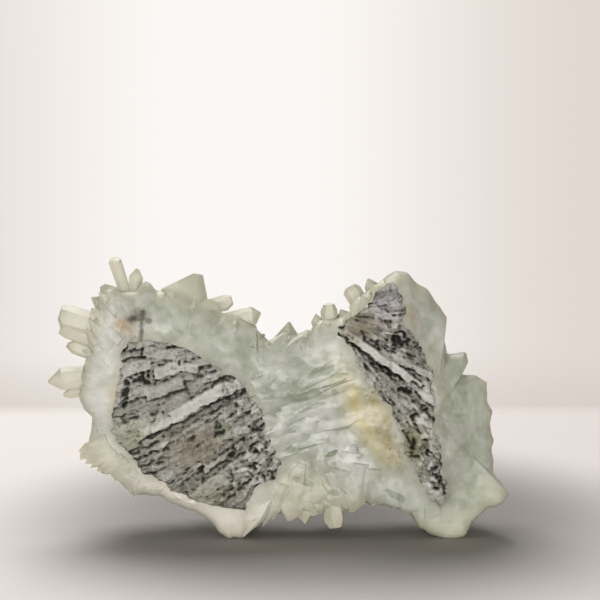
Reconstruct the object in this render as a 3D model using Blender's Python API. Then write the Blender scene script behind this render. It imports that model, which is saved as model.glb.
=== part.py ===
"""A clear quartz cluster: one mass of intergrown crystal points that grips two pieces of grey host rock.

The cluster stands on edge. Its broken side faces the front (-y) and shows the rock in two windows; points
grow from the rim and cover the back (+y). z is up, and the origin is on the ground under the middle.
Lengths are in millimetres, and MM turns them into Blender's metres.
"""

import math
import random

import bmesh
import bpy
import numpy as np
from mathutils import Vector

MM = 0.001
GAP = 0.3  # between the quartz and each piece of rock
SEED = 7

# The rim of the quartz mass without its points, as (x, z), clockwise from the left end.
RIM = [
    (-55.6, 40.9), (-54.3, 52.0), (-53.0, 61.5), (-50.5, 67.6), (-46.5, 70.3), (-40.9, 71.4), (-33.7, 70.0),
    (-27.0, 68.6), (-20.5, 66.9), (-13.5, 62.4), (-4.6, 56.6), (2.0, 57.1), (8.0, 57.6), (14.3, 60.4),
    (20.5, 65.6), (26.5, 71.6), (31.5, 75.2), (37.0, 75.4), (43.1, 70.4), (46.3, 63.0), (48.2, 55.0),
    (52.4, 49.6), (57.4, 43.8), (60.0, 35.6), (61.1, 25.0), (60.8, 15.0), (57.4, 8.0), (53.6, 1.6),
    (44.9, 1.6), (39.6, 5.2), (33.4, 8.8), (26.9, 10.4), (20.6, 9.8), (12.0, 8.8), (3.4, 8.2), (-4.6, 4.8),
    (-11.6, 0.8), (-17.6, 3.4), (-24.6, 8.6), (-32.3, 12.9), (-40.9, 15.3), (-48.6, 20.6), (-53.6, 27.4),
    (-53.6, 34.4),
]
SPINE_LEFT = (-29.0, 40.0)  # the line that the rings of the body close in on
SPINE_RIGHT = (43.0, 36.0)
SPINE_STEPS = 10
CAP_STEPS = 10
FRONT_RINGS = (0.96, 0.84, 0.62, 0.34)
BACK_RINGS = (0.90, 0.66, 0.34)

# Swellings of the body: centre (x, z), half-widths and height. The lobes are fullest round the rock.
FRONT_BASE = 5.0
FRONT_LOBES = [
    ((-25.0, 34.0), (26.0, 27.0), 8.0),
    ((32.5, 60.0), (10.0, 16.0), 8.5),
    ((43.0, 26.0), (10.0, 20.0), 7.5),
]
BACK_BASE = 16.0
BACK_LOBES = [((-25.0, 38.0), (25.0, 26.0), 13.0), ((41.0, 36.0), (17.0, 26.0), 11.0)]
ROUGHNESS = 0.6  # how far the body's facets stand in or out

# The rock windows, as (x, z) outlines, clockwise from the top.
LEFT_ROCK = [
    (-44.6, 56.0), (-39.4, 57.1), (-28.6, 57.4), (-25.1, 55.1), (-20.3, 52.3), (-16.0, 48.9), (-10.9, 44.3),
    (-8.3, 39.4), (-4.9, 36.0), (-3.7, 30.9), (-0.9, 25.7), (0.0, 20.9), (-2.0, 17.4), (-5.7, 16.0),
    (-8.0, 12.3), (-9.4, 9.6), (-14.3, 10.0), (-23.1, 11.1), (-30.3, 14.9), (-36.6, 18.6), (-42.3, 25.1),
    (-45.7, 28.6), (-47.4, 33.1), (-47.1, 37.1), (-45.1, 41.7), (-44.6, 47.4), (-45.4, 51.7),
]
RIGHT_ROCK = [
    (29.5, 72.0), (32.9, 71.8), (34.4, 68.0), (34.3, 63.4), (37.1, 60.6), (40.0, 56.0), (41.7, 50.9),
    (43.4, 45.7), (44.3, 40.0), (43.7, 33.7), (44.3, 28.0), (46.3, 23.7), (47.1, 18.0), (48.0, 12.9),
    (46.6, 10.0), (44.3, 10.3), (42.6, 14.3), (40.3, 17.7), (37.7, 20.0), (36.0, 24.6), (34.9, 28.6),
    (33.7, 33.7), (31.4, 38.9), (28.6, 42.9), (24.6, 45.7), (22.6, 50.3), (20.9, 54.6), (18.4, 58.0),
    (18.0, 61.0), (21.4, 64.0), (25.3, 66.4), (26.6, 69.6),
]
ROCK_BACK = 7.0  # y of the flat back of each piece of rock, inside the quartz
ROCK_INSET = 0.4  # how far the rock's face lies behind the quartz round it
ROCK_FRONT = -32.0  # y in front of everything, where the window's cutter starts
ROCK_WAIST = -3.0  # y behind which the rock narrows towards that back
ROCK_TAPER = 0.78  # size of that back against the window
LAYER_SHIFT = 0.7  # how far a broken piece of a layer stands proud or back
STEP_RUN = 0.3  # how far a step between two pieces runs sideways
# The layers of each rock fan out from a centre: the angles between them in degrees, how far each stands
# proud, the first and last radius, and how many pieces each layer broke into. Hollows are (x, z),
# half-width, half-height, depth and tilt.
LEFT_FAN = dict(
    centre=(57.0, 79.0),
    angles=(190.0, 195.0, 199.6, 201.4, 204.2, 207.0, 208.4, 212.4, 216.0, 218.2, 222.0, 226.0, 232.0),
    stands=(0.1, 0.9, 0.2, -0.4, 1.3, -1.2, 0.0, 0.4, -0.8, 0.6, -0.2, 0.4),
    reach=(62.0, 118.0),
    pieces=6,
    seed=11,
)
RIGHT_FAN = dict(
    centre=(12.0, 64.0),
    angles=(-84.0, -66.0, -59.0, -54.5, -50.0, -42.0, -38.0, -32.0, -26.0, -14.0, 4.0, 34.0),
    stands=(0.2, 0.6, 1.0, -0.6, 0.2, -1.4, 1.3, 0.4, -0.3, 0.6, 0.8),
    reach=(5.0, 67.0),
    pieces=8,
    seed=12,
)
LEFT_HOLLOWS = [
    ((-38.0, 46.8), 4.2, 1.2, 2.8, 0.0), ((-43.4, 42.5), 1.0, 4.0, 2.6, -0.2),
    ((-14.6, 42.6), 1.2, 1.0, 2.2, 0.3),
    ((-17.2, 34.0), 2.6, 1.8, 1.8, 0.3), ((-13.4, 25.6), 2.4, 0.9, 2.2, 0.3),
    ((-6.2, 26.4), 2.0, 1.6, 2.4, 0.0),
    ((-21.6, 22.0), 2.4, 0.9, 2.0, 0.6), ((-33.0, 24.0), 1.8, 0.8, 2.0, 0.6),
    ((-3.4, 19.6), 1.4, 1.4, 2.0, 0.0),
]
RIGHT_HOLLOWS = [
    ((34.4, 58.2), 3.0, 2.2, 4.0, 0.5), ((29.6, 51.0), 4.6, 1.2, 3.4, -0.55),
    ((35.6, 44.6), 2.6, 2.0, 4.4, -0.4),
    ((41.4, 38.4), 1.5, 1.6, 2.4, 0.0), ((36.6, 25.6), 1.2, 1.6, 2.4, 0.2),
    ((44.2, 18.4), 1.2, 2.6, 2.4, 0.0),
]

# Single points on the rim: tip, root (x, y, z), and width across the prism.
RIM_POINTS = {
    "left_finger": ((-66.0, 1.0, 45.1), (-49.5, 4.0, 47.2), 6.6),
    "under_finger": ((-61.8, 2.0, 41.0), (-50.5, 4.0, 43.4), 3.6),
    "corner_low": ((-62.6, 2.0, 58.4), (-48.6, 3.0, 52.6), 4.4),
    "left_shoulder": ((-53.4, 1.0, 69.2), (-44.6, 4.0, 61.0), 5.8),
    "top_knob": ((-50.3, 2.0, 72.6), (-44.4, 4.0, 63.0), 6.0),
    "top_finger_right": ((-40.4, 3.0, 77.2), (-42.0, 5.0, 66.0), 4.4),
    "plate_left": ((-32.6, 0.5, 71.2), (-32.6, 3.0, 60.0), 6.4),
    "hump": ((-5.2, 1.5, 65.0), (-18.0, 3.0, 57.0), 6.6),
    "hump_lower": ((-4.2, 1.0, 58.6), (-11.6, 3.0, 53.6), 4.4),
    "saddle_peak": ((2.8, 1.0, 62.2), (3.0, 2.0, 49.0), 7.4),
    "saddle_tooth": ((10.4, 1.0, 64.5), (12.8, 3.0, 55.6), 3.4),
    "lobe_bud": ((25.4, 3.0, 74.4), (28.0, 4.0, 65.6), 3.8),
    "lobe_step": ((17.6, 2.0, 65.6), (20.6, 4.0, 58.6), 4.0),
    "right_shoulder": ((48.2, 1.0, 63.0), (38.6, 4.0, 64.6), 6.8),
    "right_corner": ((66.5, 2.0, 12.2), (53.6, 4.0, 17.0), 8.6),
    "middle_tooth": ((7.4, -1.0, 4.2), (6.0, 1.0, 21.0), 5.6),
    "middle_fang": ((16.4, -1.5, 3.0), (10.6, 1.0, 24.6), 8.6),
    "middle_right": ((21.8, -0.5, 7.2), (17.0, 2.0, 24.0), 6.8),
    "arch_right": ((26.8, 0.0, 9.2), (24.0, 3.0, 24.0), 7.0),
    "low_rib_a": ((-57.0, 1.0, 23.4), (-46.0, 3.0, 31.0), 4.8),
    "low_rib_b": ((-51.0, 0.5, 18.8), (-41.6, 3.0, 26.6), 3.6),
    "low_rib_c": ((-41.4, 0.5, 11.8), (-38.0, 3.0, 21.6), 3.6),
}
# Points whose ends were broken off or grew blunt: tip, root and width as above.
BLUNT_POINTS = {
    "corner_top": ((-62.0, 1.5, 65.2), (-47.4, 4.0, 58.0), 5.8),
    "corner_mid": ((-62.2, 0.5, 61.6), (-47.0, 3.0, 55.4), 5.2),
    "top_finger_left": ((-47.2, 2.0, 80.2), (-42.8, 5.0, 66.6), 4.6),
    "clear_rod": ((-12.8, 5.5, 68.6), (-25.6, 6.5, 61.6), 4.8),
    "saddle_finger": ((14.1, 1.0, 67.2), (15.0, 3.0, 56.0), 5.0),
    "lobe_knuckle": ((20.2, 3.5, 72.0), (25.6, 4.0, 62.6), 5.4),
    "lobe_top": ((34.2, 2.0, 77.2), (35.6, 4.0, 65.0), 9.4),
    "lobe_top_right": ((40.0, 2.0, 74.2), (37.0, 5.0, 62.0), 9.0),
    "side_step": ((53.4, 2.0, 52.4), (43.2, 4.0, 48.4), 5.6),
    "foot_right": ((50.6, 0.0, -1.2), (48.6, 3.0, 13.0), 9.0),
    "foot_right_inner": ((45.4, 0.0, -0.8), (44.6, 3.0, 11.0), 8.0),
    "foot_left": ((-13.4, 0.0, -1.4), (-11.6, 3.0, 13.0), 9.4),
    "foot_left_outer": ((-17.6, 0.5, 0.8), (-16.6, 3.0, 12.0), 6.6),
    "foot_left_inner": ((-6.8, 0.5, 1.8), (-7.0, 3.0, 13.0), 7.0),
    "rear_foot_left": ((-11.0, 23.0, -1.6), (-12.0, 12.0, 22.0), 9.6),
    "rear_foot_right": ((47.0, 22.0, -1.6), (44.0, 11.0, 22.0), 9.6),
}
# The broad peak over the left window: one wide, flattened point with its tip off to the right.
PEAK = dict(
    root=(-27.4, 3.0, 50.0), collar=(-27.0, 1.5, 70.4), tip=(-23.0, 1.5, 75.9), width=13.4, flatness=0.62
)

# Points that lie side by side on the front, from the rock out to the rim: tip (x, z), root (x, z), width.
FRONT_POINTS = {
    "left_rind": [
        ((-55.6, 65.0), (-45.4, 56.6), 6.0), ((-56.2, 58.4), (-46.0, 52.0), 6.0),
        ((-56.6, 51.0), (-45.4, 47.0), 6.4),
        ((-55.8, 38.0), (-47.0, 38.4), 6.4), ((-56.0, 31.6), (-46.8, 32.4), 6.2),
        ((-53.0, 24.4), (-43.8, 27.0), 6.4),
    ],
    "top_left": [
        ((-49.6, 71.6), (-42.2, 58.2), 6.4), ((-43.2, 74.0), (-38.0, 58.0), 6.6),
        ((-36.4, 73.0), (-33.6, 57.8), 7.0),
    ],
    "top_plates": [
        ((-29.4, 72.8), (-29.4, 57.6), 9.6), ((-20.4, 70.4), (-24.4, 55.2), 10.4),
        ((-13.4, 65.2), (-19.6, 52.0), 9.8),
        ((-6.4, 59.6), (-13.0, 46.6), 9.8),
    ],
    "saddle": [
        ((1.8, 59.6), (-4.6, 40.4), 8.4), ((9.4, 59.8), (3.8, 42.8), 7.8), ((17.0, 62.6), (13.0, 45.0), 7.2),
    ],
    "comb": [
        ((16.6, 45.4), (-3.2, 39.2), 4.4), ((18.4, 42.4), (-2.2, 35.8), 4.0),
        ((17.0, 38.2), (-1.2, 31.8), 5.0),
        ((18.8, 34.6), (-0.4, 28.0), 4.6), ((16.2, 30.0), (0.8, 24.0), 5.2),
    ],
    "lower_fan": [
        ((-1.4, 7.2), (5.0, 26.8), 5.8), ((5.0, 6.4), (8.0, 28.2), 6.0), ((11.2, 6.6), (10.8, 28.0), 6.6),
        ((17.0, 8.0), (13.8, 28.6), 7.0), ((23.0, 9.0), (17.2, 28.8), 6.4), ((29.6, 9.8), (21.0, 27.6), 6.6),
    ],
    "yellow_patch": [
        ((20.0, 38.6), (26.4, 43.6), 7.6), ((21.6, 31.2), (30.0, 37.8), 8.0),
        ((27.6, 24.4), (32.8, 31.2), 7.6),
    ],
    "right_lobe": [
        ((23.0, 71.2), (23.6, 63.0), 6.4), ((30.0, 75.8), (28.6, 69.6), 6.6),
        ((40.6, 73.0), (35.0, 65.0), 11.0),
    ],
    "right_rind": [
        ((47.4, 60.6), (40.4, 56.0), 9.6), ((53.0, 51.0), (43.4, 47.4), 10.0),
        ((58.6, 42.6), (44.4, 39.8), 10.6),
        ((61.0, 33.4), (44.4, 33.0), 10.4), ((62.4, 23.2), (46.0, 24.6), 10.4),
        ((62.4, 12.6), (47.8, 16.6), 10.4),
        ((55.6, 2.6), (47.6, 11.0), 9.6), ((43.6, 2.6), (43.8, 11.6), 9.0), ((35.6, 7.6), (40.0, 18.2), 8.6),
    ],
    "low_left": [
        ((-47.6, 18.2), (-40.0, 21.6), 7.4), ((-40.0, 14.2), (-35.0, 17.8), 7.6),
        ((-32.0, 11.6), (-29.2, 14.6), 7.6),
        ((-23.4, 6.8), (-22.4, 11.4), 8.8), ((-13.4, 0.6), (-13.8, 10.4), 9.6),
        ((-4.6, 4.4), (-7.0, 11.6), 8.0),
    ],
    "between": [((6.4, 20.0), (-1.0, 24.6), 6.2), ((3.0, 12.6), (-2.6, 18.2), 6.4)],
}
FRONT_STAND = {"comb": 1.9, "lower_fan": 1.5, "left_rind": 1.0, "top_left": 0.9, "saddle": 0.8}
FRONT_STAND_ELSE = 0.6
COLLAR_SHARE = (0.62, 0.78)  # where the collar of a front point lies on the way from root to tip

# The points that cover the back: rings as (share of the way to the rim, spacing, height above the body).
BACK_DRUSE = [(0.94, 12.6, 6.0), (0.71, 14.0, 9.5), (0.47, 14.5, 11.0), (0.22, 15.5, 12.0)]
DRUSE_WIDTH = (8.6, 14.0)
DRUSE_ROOT = 6.0  # how deep they are rooted
CREST_SLOPE = 0.14  # the druse stays below this slope back from the rim, which only the rim's points pass
GROUND_GAP = 2.0  # least height of the druse's tips: only the feet stand on the ground

POINT_SLOPE = 1.05  # height of a point's six-sided tip against half its width
POINT_LEAN = 0.12  # how far a tip leans off its axis, against the width
BLUNT_END = 0.62  # width of a blunt point's end against its own
ROOT_SHARE = 0.86  # width at the root against the width at the collar
HEX_HALF = math.sqrt(3) / 4  # half the flat-to-flat height of a hexagon one wide

ROCK_GREY = (0.33, 0.33, 0.30, 1.0)
QUARTZ_GREEN = (0.80, 0.83, 0.77, 1.0)


def clear_scene():
    for old in list(bpy.data.objects):
        bpy.data.objects.remove(old, do_unlink=True)


def new_object(name, mesh_maker, helper=False):
    """An object whose mesh is filled by mesh_maker. A helper is an operand or a cutter, and is hidden."""
    bm = bmesh.new()
    mesh_maker(bm)
    bmesh.ops.connect_verts_nonplanar(bm, angle_limit=math.radians(0.1), faces=bm.faces)
    mesh = bpy.data.meshes.new(name)
    bm.to_mesh(mesh)
    bm.free()
    made = bpy.data.objects.new(name, mesh)
    bpy.context.scene.collection.objects.link(made)
    if helper:
        made.hide_render = True
        made.display_type = "WIRE"
    return made


def boolean(target, operation, operand):
    step = target.modifiers.new(operation.title() + " " + operand.name, "BOOLEAN")
    step.operation = operation
    step.solver = "EXACT"
    step.use_self = True
    step.object = operand


def material(name, colour, roughness, transmission=0.0):
    made = bpy.data.materials.new(name)
    made.use_nodes = True
    shader = made.node_tree.nodes["Principled BSDF"]
    shader.inputs["Base Color"].default_value = colour
    shader.inputs["Roughness"].default_value = roughness
    shader.inputs["Metallic"].default_value = 0.0
    shader.inputs["Transmission Weight"].default_value = transmission
    shader.inputs["IOR"].default_value = 1.544
    return made


# The body: rings between the rim and a spine, domed to the front and to the back.


def rim_reach(start, heading):
    """The distance from a point inside the rim to the rim itself, along a heading in the xz plane."""
    corners = np.array(RIM)
    edge = np.roll(corners, -1, axis=0) - corners
    away = corners - start
    cross = heading[0] * edge[:, 1] - heading[1] * edge[:, 0]
    cross = np.where(np.abs(cross) < 1e-9, 1e-9, cross)
    reach = (away[:, 0] * edge[:, 1] - away[:, 1] * edge[:, 0]) / cross
    along = (away[:, 0] * heading[1] - away[:, 1] * heading[0]) / cross
    hit = (reach > 0) & (along >= -1e-9) & (along <= 1 + 1e-9)
    return float(reach[hit].max())


def spine_point(x):
    """The point of the spine that serves the column at x."""
    left, right = Vector(SPINE_LEFT), Vector(SPINE_RIGHT)
    share = (x - left.x) / (right.x - left.x)
    return left.lerp(right, min(max(share, 0.0), 1.0))


def rim_share(x, z):
    """How far (x, z) lies on the way from the spine, 0, to the rim, 1."""
    sx, sz = spine_point(x)
    away = math.hypot(x - sx, z - sz)
    if away < 1e-6:
        return 0.0
    return away / rim_reach((sx, sz), ((x - sx) / away, (z - sz) / away))


def swelling(x, z, base, lobes):
    height = base
    for (cx, cz), (wide, tall), rise in lobes:
        height += rise * math.exp(-(((x - cx) / wide) ** 2) - ((z - cz) / tall) ** 2)
    return height


def front_y(x, z, share):
    return -swelling(x, z, FRONT_BASE, FRONT_LOBES) * math.sqrt(max(0.0, 1 - share**5))


def back_y(x, z, share):
    return swelling(x, z, BACK_BASE, BACK_LOBES) * max(0.0, 1 - share**2.6) ** 0.6


def stations():
    """(spine point, heading) of each spoke: along the top, round the right end, along the foot and round."""
    left, right = Vector(SPINE_LEFT), Vector(SPINE_RIGHT)
    columns = [left.lerp(right, i / SPINE_STEPS) for i in range(SPINE_STEPS + 1)]
    turn = [math.pi * i / CAP_STEPS for i in range(1, CAP_STEPS)]
    spokes = [(c, (0.0, 1.0)) for c in columns]
    spokes += [(right, (math.sin(a), math.cos(a))) for a in turn]
    spokes += [(c, (0.0, -1.0)) for c in reversed(columns)]
    spokes += [(left, (-math.sin(a), -math.cos(a))) for a in turn]
    return spokes


def body(bm):
    dice = random.Random(SEED)
    spokes = stations()
    reaches = [rim_reach(start, heading) for start, heading in spokes]

    def ring(share, depth, rough):
        points = []
        for (start, heading), reach in zip(spokes, reaches):
            x = start[0] + heading[0] * reach * share
            z = start[1] + heading[1] * reach * share
            y = depth(x, z, share) + dice.uniform(-rough, rough)
            points.append(bm.verts.new((x * MM, y * MM, z * MM)))
        return points

    def skin(rings, outward):
        for near, far in zip(rings, rings[1:]):
            for i in range(len(near)):
                j = (i + 1) % len(near)
                corners = (near[i], near[j], far[j], far[i])
                bm.faces.new(corners if outward else corners[::-1])

    edge = ring(1.0, lambda x, z, share: 0.0, 0.0)
    front = [edge] + [ring(s, front_y, ROUGHNESS) for s in FRONT_RINGS] + [ring(0.0, front_y, 0.0)]
    back = [edge] + [ring(s, back_y, 2 * ROUGHNESS) for s in BACK_RINGS] + [ring(0.0, back_y, 0.0)]
    skin(front, True)
    skin(back, False)
    bmesh.ops.remove_doubles(bm, verts=bm.verts, dist=1e-7)
    bmesh.ops.dissolve_degenerate(bm, edges=bm.edges, dist=1e-7)
    bmesh.ops.recalc_face_normals(bm, faces=bm.faces)


# The points: six-sided prisms, each closed by six faces that meet at its tip.


def prism(bm, root, collar, tip, width, flatness=1.0, roll=0.0, blunt=0.0):
    """One crystal from its root through its collar to its tip. A blunt one ends in a small hexagon."""
    root, collar, tip = Vector(root), Vector(collar), Vector(tip)
    axis = (collar - root).normalized()
    side = axis.cross(Vector((0.0, 1.0, 0.0)))
    side = side.normalized() if side.length > 0.1 else Vector((1.0, 0.0, 0.0))
    depth = axis.cross(side)

    def hexagon(centre, across):
        corners = []
        for k in range(6):
            angle = roll + math.pi / 3 * k
            offset = side * math.cos(angle) + depth * (math.sin(angle) * flatness)
            corners.append(bm.verts.new((centre + offset * across / 2) * MM))
        return corners

    rings = [hexagon(root, width * ROOT_SHARE), hexagon(collar, width)]
    if blunt:
        rings.append(hexagon(tip, width * blunt))
    for low, high in zip(rings, rings[1:]):
        for k in range(6):
            bm.faces.new((low[k], low[(k + 1) % 6], high[(k + 1) % 6], high[k]))
    bm.faces.new(rings[0][::-1])
    if blunt:
        bm.faces.new(rings[-1])
    else:
        apex = bm.verts.new(tip * MM)
        for k in range(6):
            bm.faces.new((rings[-1][k], rings[-1][(k + 1) % 6], apex))


def point(bm, tip, root, width, dice, blunt=0.0):
    """A crystal given by its tip and root. Its tip leans off the axis a little, as most do."""
    tip, root = Vector(tip), Vector(root)
    axis = tip - root
    slope = min(0.55, POINT_SLOPE * width / 2 / axis.length) * (0.5 if blunt else 1.0)
    lean = Vector([dice.uniform(-POINT_LEAN, POINT_LEAN) * width for _ in range(3)])
    collar = tip - axis * slope - lean
    prism(bm, root, collar, tip, width, dice.uniform(0.72, 1.0), dice.uniform(0, math.pi / 3), blunt)


def rim_points(bm):
    dice = random.Random(SEED + 1)
    for tip, root, width in RIM_POINTS.values():
        point(bm, tip, root, width, dice)
    for tip, root, width in BLUNT_POINTS.values():
        point(bm, tip, root, width, dice, blunt=BLUNT_END)
    prism(bm, **PEAK)


def surface_y(x, z):
    return front_y(x, z, min(0.9, rim_share(x, z)))


def front_points(bm):
    """Points that lie on the front. Each follows the body to its collar, then slopes down to the rim."""
    dice = random.Random(SEED + 2)
    for group, points in FRONT_POINTS.items():
        stand = FRONT_STAND.get(group, FRONT_STAND_ELSE)
        for tip, root, width in points:
            flatness = dice.uniform(0.5, 0.75)
            sunk = HEX_HALF * width * flatness - stand * dice.uniform(0.7, 1.3)
            share = dice.uniform(*COLLAR_SHARE)
            collar = [r + (t - r) * share for r, t in zip(root, tip)]
            prism(
                bm,
                root=(root[0], surface_y(*root) + sunk, root[1]),
                collar=(collar[0], surface_y(*collar) + sunk, collar[1]),
                tip=(tip[0], 0.45 * surface_y(*tip) + dice.uniform(-0.4, 0.4), tip[1]),
                width=width,
                flatness=flatness,
                roll=dice.uniform(-0.16, 0.16),
            )


def back_druse(bm):
    """Points over the back, in rings. Each is rooted in the body and leans outwards, most near the rim."""
    dice = random.Random(SEED + 3)
    rim = sum((Vector(b) - Vector(a)).length for a, b in zip(RIM, RIM[1:] + RIM[:1]))
    spine = SPINE_RIGHT[0] - SPINE_LEFT[0]
    spokes = stations()
    for share, spacing, height in BACK_DRUSE:
        count = round((share * rim + (1 - share) * 2 * spine) / spacing)
        for i in range(count):
            start, heading = spokes[int((i + dice.uniform(0.25, 0.75)) / count * len(spokes))]
            out = min(0.96, share * dice.uniform(0.93, 1.05))
            reach = rim_reach(start, heading) * out
            x, z = start[0] + heading[0] * reach, start[1] + heading[1] * reach
            seat = Vector((x, back_y(x, z, out), z))
            lean = 0.1 + 0.75 * share
            away = Vector((heading[0] * lean, 1.05 - 0.45 * share, heading[1] * lean))
            away += Vector([dice.uniform(-0.2, 0.2) for _ in range(3)])
            away.normalize()
            tip = seat + away * height * dice.uniform(0.65, 1.25)
            while rim_share(tip.x, tip.z + CREST_SLOPE * tip.y) > 0.99 and (tip - seat).length > 1.5:
                tip = seat.lerp(tip, 0.85)
            tip.z = max(tip.z, GROUND_GAP)
            point(bm, tip, seat - away * DRUSE_ROOT, dice.uniform(*DRUSE_WIDTH), dice)


def all_points(bm):
    rim_points(bm)
    front_points(bm)
    back_druse(bm)


def ground_block(bm):
    """What lies below the ground: it trims the feet flat."""
    bmesh.ops.create_cube(bm, size=1.0)
    bmesh.ops.scale(bm, vec=(220 * MM, 160 * MM, 20 * MM), verts=bm.verts)
    bmesh.ops.translate(bm, vec=(0, 0, -10 * MM), verts=bm.verts)


# The rock: a plug behind each window, whose front broke along its layers.


def grown(outline, by):
    """The outline moved outwards by a distance, corner by corner."""
    points = [Vector(p) for p in outline]
    moved = []
    for i, here in enumerate(points):
        into = (here - points[i - 1]).normalized()
        out_of = (points[(i + 1) % len(points)] - here).normalized()
        normal = Vector((-into.y - out_of.y, into.x + out_of.x)).normalized()
        spread = max(0.6, normal.dot(Vector((-into.y, into.x))))
        moved.append(here + normal * (by / spread))
    return moved


def plug(outline, extra):
    """A closed plug from in front of the window to the rock's back, where it is smaller."""
    centre = sum((Vector(p) for p in outline), Vector((0.0, 0.0))) / len(outline)
    inner = [centre + (Vector(p) - centre) * ROCK_TAPER for p in outline]

    def fill(bm):
        wide, narrow = grown(outline, extra), grown(inner, extra)
        rows = []
        for y, ring in ((ROCK_FRONT, wide), (ROCK_WAIST, wide), (ROCK_BACK + extra, narrow)):
            rows.append([bm.verts.new((p.x * MM, y * MM, p.y * MM)) for p in ring])
        bm.faces.new(rows[0])
        bm.faces.new(rows[-1][::-1])
        for front, back in zip(rows, rows[1:]):
            for i in range(len(front)):
                j = (i + 1) % len(front)
                bm.faces.new((front[j], front[i], back[i], back[j]))
        bmesh.ops.recalc_face_normals(bm, faces=bm.faces)

    return fill


def layered_block(centre, angles, stands, reach, pieces, seed):
    """A block whose front broke into layers that spread like a fan, and each layer into uneven pieces.

    Every layer and every piece has an edge line of its own beside its neighbour's, so the steps are steep.
    """
    dice = random.Random(seed)
    seam = STEP_RUN / 2
    radii = [reach[0] + (reach[1] - reach[0]) * i / pieces for i in range(pieces + 1)]
    middle = (reach[0] + reach[1]) / 2

    def fill(bm):
        rows = []
        for low, high, stand in zip(angles, angles[1:], stands):
            shifts = [dice.uniform(-LAYER_SHIFT, LAYER_SHIFT)]
            for _ in range(pieces - 1):
                shifts.append(dice.uniform(-LAYER_SHIFT, LAYER_SHIFT) if dice.random() < 0.5 else shifts[-1])
            for angle, side in ((low, 1), (high, -1)):
                turn = math.radians(angle) + side * seam / middle
                row = []
                for i, shift in enumerate(shifts):
                    for radius in (radii[i] + seam, radii[i + 1] - seam):
                        x = centre[0] + radius * math.cos(turn)
                        z = centre[1] + radius * math.sin(turn)
                        y = surface_y(x, z) + ROCK_INSET
                        y -= stand + shift + dice.uniform(-0.2, 0.2)
                        row.append(bm.verts.new((x * MM, y * MM, z * MM)))
                rows.append(row)
        floor = [[bm.verts.new((v.co.x, (ROCK_BACK + 4) * MM, v.co.z)) for v in row] for row in rows]
        for sheet in (rows, floor):
            for low, high in zip(sheet, sheet[1:]):
                for k in range(len(low) - 1):
                    bm.faces.new((low[k], low[k + 1], high[k + 1], high[k]))
        around = [(0, k) for k in range(len(rows[0]))] + [(j, len(rows[0]) - 1) for j in range(1, len(rows))]
        around += [(len(rows) - 1, k) for k in range(len(rows[0]) - 2, -1, -1)]
        around += [(j, 0) for j in range(len(rows) - 2, 0, -1)]
        for (j, k), (n, m) in zip(around, around[1:] + around[:1]):
            bm.faces.new((rows[j][k], rows[n][m], floor[n][m], floor[j][k]))
        bmesh.ops.recalc_face_normals(bm, faces=bm.faces)

    return fill


def hollows(pits, seed):
    """Rough hollows in the broken front, as low-sided balls to cut away."""

    def fill(bm):
        dice = random.Random(seed)
        for (x, z), wide, tall, deep, tilt in pits:
            made = bmesh.ops.create_icosphere(bm, subdivisions=1, radius=1.0)
            y = surface_y(x, z) + ROCK_INSET
            for vert in made["verts"]:
                across, high = vert.co.x * wide, vert.co.z * tall
                vert.co = Vector((
                    x + across * math.cos(tilt) - high * math.sin(tilt) + dice.uniform(-0.15, 0.15),
                    y + vert.co.y * deep + dice.uniform(-0.15, 0.15),
                    z + across * math.sin(tilt) + high * math.cos(tilt) + dice.uniform(-0.15, 0.15),
                )) * MM

    return fill


def centre_on_origin(nodes):
    """Moves everything sideways until the box round the nodes stands centred on the origin."""
    depsgraph = bpy.context.evaluated_depsgraph_get()
    corners = np.array([corner[:] for node in nodes for corner in node.evaluated_get(depsgraph).bound_box])
    middle = (corners.min(axis=0) + corners.max(axis=0)) / 2
    for each in bpy.data.objects:
        each.location = (-middle[0], -middle[1], 0.0)


def build():
    clear_scene()
    quartz_finish = material("clear_quartz", QUARTZ_GREEN, 0.25, 0.9)
    rock_finish = material("grey_host_rock", ROCK_GREY, 0.9)

    quartz = new_object("quartz_cluster", body)
    quartz.data.materials.append(quartz_finish)
    boolean(quartz, "UNION", new_object("crystal points", all_points, helper=True))

    rocks = (
        ("host_rock_left", LEFT_ROCK, LEFT_FAN, LEFT_HOLLOWS),
        ("host_rock_right", RIGHT_ROCK, RIGHT_FAN, RIGHT_HOLLOWS),
    )
    nodes = [quartz]
    for name, outline, fan, pits in rocks:
        rock = new_object(name, plug(outline, 0.0))
        rock.data.materials.append(rock_finish)
        nodes.append(rock)
        boolean(rock, "INTERSECT", new_object(name + " layers", layered_block(**fan), helper=True))
        boolean(rock, "DIFFERENCE", new_object(name + " hollows", hollows(pits, fan["seed"]), helper=True))
        boolean(quartz, "DIFFERENCE", new_object(name + " window", plug(outline, GAP), helper=True))
    boolean(quartz, "DIFFERENCE", new_object("ground", ground_block, helper=True))
    centre_on_origin(nodes)


build()
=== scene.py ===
import math
import random

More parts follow.
